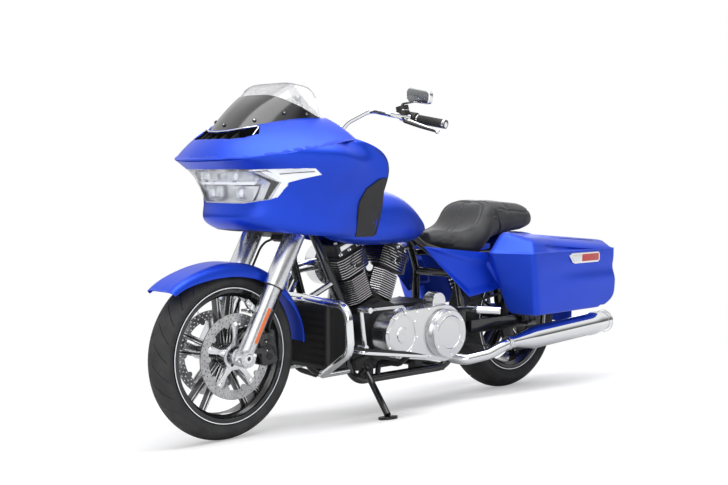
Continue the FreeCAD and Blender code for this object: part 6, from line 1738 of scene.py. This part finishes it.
class CRUISER_OT_fork(bpy.types.Operator):
    """Makes the fork legs with their reflectors, clips and brake caps"""

    bl_idname = "cruiser.fork"
    bl_label = "Fork"

    def execute(self, context):
        make_fork()
        return {"FINISHED"}


class CRUISER_OT_fairing(bpy.types.Operator):
    """Makes the fairing with its air slot, dash, headlamp and screen"""

    bl_idname = "cruiser.fairing"
    bl_label = "Fairing"

    def execute(self, context):
        make_fairing()
        make_headlamp()
        make_screen()
        return {"FINISHED"}


class CRUISER_OT_seat(bpy.types.Operator):
    """Makes the padded seat with its seams and stitches"""

    bl_idname = "cruiser.seat"
    bl_label = "Seat"

    def execute(self, context):
        make_seat()
        return {"FINISHED"}


class CRUISER_OT_bags(bpy.types.Operator):
    """Makes the saddlebags with their lids and lamps, and the side covers"""

    bl_idname = "cruiser.bags"
    bl_label = "Saddlebags and side covers"

    def execute(self, context):
        make_bags()
        make_side_covers()
        return {"FINISHED"}


class CRUISER_OT_engine(bpy.types.Operator):
    """Makes the cylinders' bright fins, the covers with their bolts, and the exhaust's clamps"""

    bl_idname = "cruiser.engine"
    bl_label = "Engine and exhaust"

    def execute(self, context):
        make_cylinders()
        make_covers()
        make_exhaust()
        return {"FINISHED"}


class CRUISER_OT_controls(bpy.types.Operator):
    """Makes the grips, levers and mirror glass, and the trim of the chassis"""

    bl_idname = "cruiser.controls"
    bl_label = "Controls and trim"

    def execute(self, context):
        for make in (make_controls, make_cooler, make_boards, make_shocks, make_tank, make_tail_lamps,
                     make_chassis_trim):
            make()
        return {"FINISHED"}


class CRUISER_OT_plain(bpy.types.Operator):
    """Dresses the nodes that no other piece stands for"""

    bl_idname = "cruiser.plain"
    bl_label = "Remaining nodes"

    def execute(self, context):
        for node, (material, bevel) in DRESS.items():
            dress(node, material, bevel)
        return {"FINISHED"}


class CRUISER_OT_stage(bpy.types.Operator):
    """Lays the floor and sets the lamps and the camera"""

    bl_idname = "cruiser.stage"
    bl_label = "Studio"

    def execute(self, context):
        make_stage()
        return {"FINISHED"}


OPERATORS = (CRUISER_OT_materials, CRUISER_OT_wheels, CRUISER_OT_fork, CRUISER_OT_fairing, CRUISER_OT_seat,
             CRUISER_OT_bags, CRUISER_OT_engine, CRUISER_OT_controls, CRUISER_OT_plain, CRUISER_OT_stage)


class CRUISER_PT_panel(bpy.types.Panel):
    """Lists the pieces of the cruiser"""

    bl_idname = "CRUISER_PT_panel"
    bl_label = "Touring Cruiser"
    bl_space_type = "VIEW_3D"
    bl_region_type = "UI"
    bl_category = "Cruiser"

    def draw(self, context):
        column = self.layout.column()
        column.prop(context.scene.cruiser_looks, "paint")
        for operator in OPERATORS:
            column.operator(operator.bl_idname, text=operator.bl_label)


# Studio: the floor in metres, the levels of the world's bands by height, and the camera's angle in
# degrees, its place in bike millimetres and its direction

FLOOR_HALF = 14
FLOOR_GLOW = 0.34
FLOOR_FADE = (1.3, 2.6)
WORLD_LIGHT = 0.42
WORLD_BANDS = ((0.5, 0.2), (0.56, 0.1), (0.64, 0.5), (0.72, 0.95))
VIEW_WIDTH = 33.56
VIEW_FROM = (4358.2, 3570.3, 999.6)
VIEW_AHEAD = (-0.6953, -0.7163, -0.0587)
WHITE = (1, 1, 1, 1)


def aim(item, place, target):
    """Puts a lamp or camera at a place and turns it to its target."""
    item.location = place
    item.rotation_euler = (Vector(target) - Vector(place)).to_track_quat("-Z", "Y").to_euler()


def make_floor():
    """A pale floor that keeps the shadow and fades to plain white away from the machine."""
    mesh = bpy.data.meshes.new("floor")
    corners = [(x * FLOOR_HALF, y * FLOOR_HALF, 0) for x, y in ((-1, -1), (1, -1), (1, 1), (-1, 1))]
    mesh.from_pydata(corners, [], [(0, 1, 2, 3)])
    material = bpy.data.materials.new("floor_white")
    material.use_nodes = True
    tree = material.node_tree
    tree.nodes.clear()
    out = add_node(tree, "ShaderNodeOutputMaterial")
    matt = add_node(tree, "ShaderNodeBsdfDiffuse", Color=(0.8, 0.8, 0.8, 1))
    glow, white = (add_node(tree, "ShaderNodeEmission", Color=WHITE) for _ in range(2))
    ray = add_node(tree, "ShaderNodeLightPath").outputs
    spot = add_node(tree, "ShaderNodeTexCoord")
    reach = add_node(tree, "ShaderNodeVectorMath")
    reach.operation = "LENGTH"
    fade = add_node(tree, "ShaderNodeMapRange", From_Min=FLOOR_FADE[0], From_Max=FLOOR_FADE[1])
    fade.interpolation_type = "SMOOTHSTEP"
    near, mix = add_node(tree, "ShaderNodeAddShader"), add_node(tree, "ShaderNodeMixShader")
    lift = worked_out(tree, "MULTIPLY", ray["Is Camera Ray"], FLOOR_GLOW)
    seen = worked_out(tree, "MAXIMUM", ray["Is Camera Ray"], ray["Is Glossy Ray"])
    share = worked_out(tree, "MULTIPLY", fade.outputs["Result"], seen)
    join(tree, (spot.outputs["Object"], reach.inputs[0]), (reach.outputs["Value"], fade.inputs["Value"]),
         (lift, glow.inputs["Strength"]), (matt.outputs[0], near.inputs[0]),
         (glow.outputs[0], near.inputs[1]), (share, mix.inputs[0]), (near.outputs[0], mix.inputs[1]),
         (white.outputs[0], mix.inputs[2]), (mix.outputs[0], out.inputs["Surface"]))
    mesh.materials.append(material)
    floor = new_object("floor", mesh)


def make_world():
    """White to the camera, soft light on the piece, and a banded studio in its reflections."""
    world = bpy.data.worlds.new("studio")
    bpy.context.scene.world = world
    world.use_nodes = True
    tree = world.node_tree
    tree.nodes.clear()
    out = add_node(tree, "ShaderNodeOutputWorld")
    plain = add_node(tree, "ShaderNodeBackground", Color=WHITE, Strength=WORLD_LIGHT)
    seen = add_node(tree, "ShaderNodeBackground", Color=WHITE)
    mirror = add_node(tree, "ShaderNodeBackground")
    ray = add_node(tree, "ShaderNodeLightPath").outputs
    spot = add_node(tree, "ShaderNodeTexCoord")
    apart = add_node(tree, "ShaderNodeSeparateXYZ")
    shift = add_node(tree, "ShaderNodeMapRange", From_Min=-1)
    ramp = add_node(tree, "ShaderNodeValToRGB")
    stops = ramp.color_ramp.elements
    stops[0].position, stops[0].color = 0.44, (0.95, 0.95, 0.95, 1)
    stops[1].position, stops[1].color = 1.0, WHITE
    for place, level in WORLD_BANDS:
        stops.new(place).color = (level, level, level, 1)
    first, second = (add_node(tree, "ShaderNodeMixShader") for _ in range(2))
    either = worked_out(tree, "MAXIMUM", ray["Is Camera Ray"], ray["Is Transmission Ray"])
    join(tree, (spot.outputs["Generated"], apart.inputs[0]), (apart.outputs["Z"], shift.inputs["Value"]),
         (shift.outputs["Result"], ramp.inputs["Fac"]), (ramp.outputs["Color"], mirror.inputs["Color"]),
         (ray["Is Glossy Ray"], first.inputs[0]), (plain.outputs[0], first.inputs[1]),
         (mirror.outputs[0], first.inputs[2]), (either, second.inputs[0]),
         (first.outputs[0], second.inputs[1]), (seen.outputs[0], second.inputs[2]),
         (second.outputs[0], out.inputs["Surface"]))


def make_lamp(name, place, target, width, height, power):
    """A soft square lamp that looks at a target."""
    data = bpy.data.lights.new(name, "AREA")
    data.shape = "RECTANGLE"
    data.size, data.size_y, data.energy = width, height, power
    aim(new_object(name, data), place, target)


def make_camera():
    """The photograph's camera, found from the wheels, turned with the lean of the machine."""
    data = bpy.data.cameras.new("camera")
    data.sensor_width = 36
    data.lens = data.sensor_width / 2 / math.tan(math.radians(VIEW_WIDTH / 2))
    camera = new_object("camera", data)
    bpy.context.scene.camera = camera
    ahead = Vector(VIEW_AHEAD).normalized()
    right = ahead.cross(Vector((0, 0, 1))).normalized()
    up = right.cross(ahead)
    turn = Matrix([FORWARD, ACROSS, UPRIGHT]).transposed() @ Matrix([right, up, -ahead]).transposed()
    camera.matrix_world = Matrix.Translation(stand(VIEW_FROM)) @ turn.to_4x4()


def make_stage():
    """The floor, the world, three lamps and the camera."""
    make_floor()
    make_world()
    make_lamp("key", (0.6, 1.2, 4.2), (0, 0, 0.4), 4.5, 3.0, 150)
    make_lamp("fill", (3.6, 2.4, 1.6), (0, 0, 0.6), 2.5, 2.5, 40)
    make_lamp("rim", (-2.8, -2.6, 2.6), (0, 0, 0.6), 2.5, 2.5, 50)
    make_camera()
    bpy.context.scene.view_settings.view_transform = "Standard"


CLASSES = (CruiserLooks, *OPERATORS, CRUISER_PT_panel)


def register():
    """Adds the classes and the settings."""
    for item in CLASSES:
        bpy.utils.register_class(item)
    bpy.types.Scene.cruiser_looks = bpy.props.PointerProperty(type=CruiserLooks)


def unregister():
    """Takes them away again."""
    del bpy.types.Scene.cruiser_looks
    for item in reversed(CLASSES):
        bpy.utils.unregister_class(item)


def main():
    """Makes everything through the operators."""
    register()
    for operator in OPERATORS:
        group, name = operator.bl_idname.split(".")
        getattr(getattr(bpy.ops, group), name)()


if __name__ == "__main__":
    main()
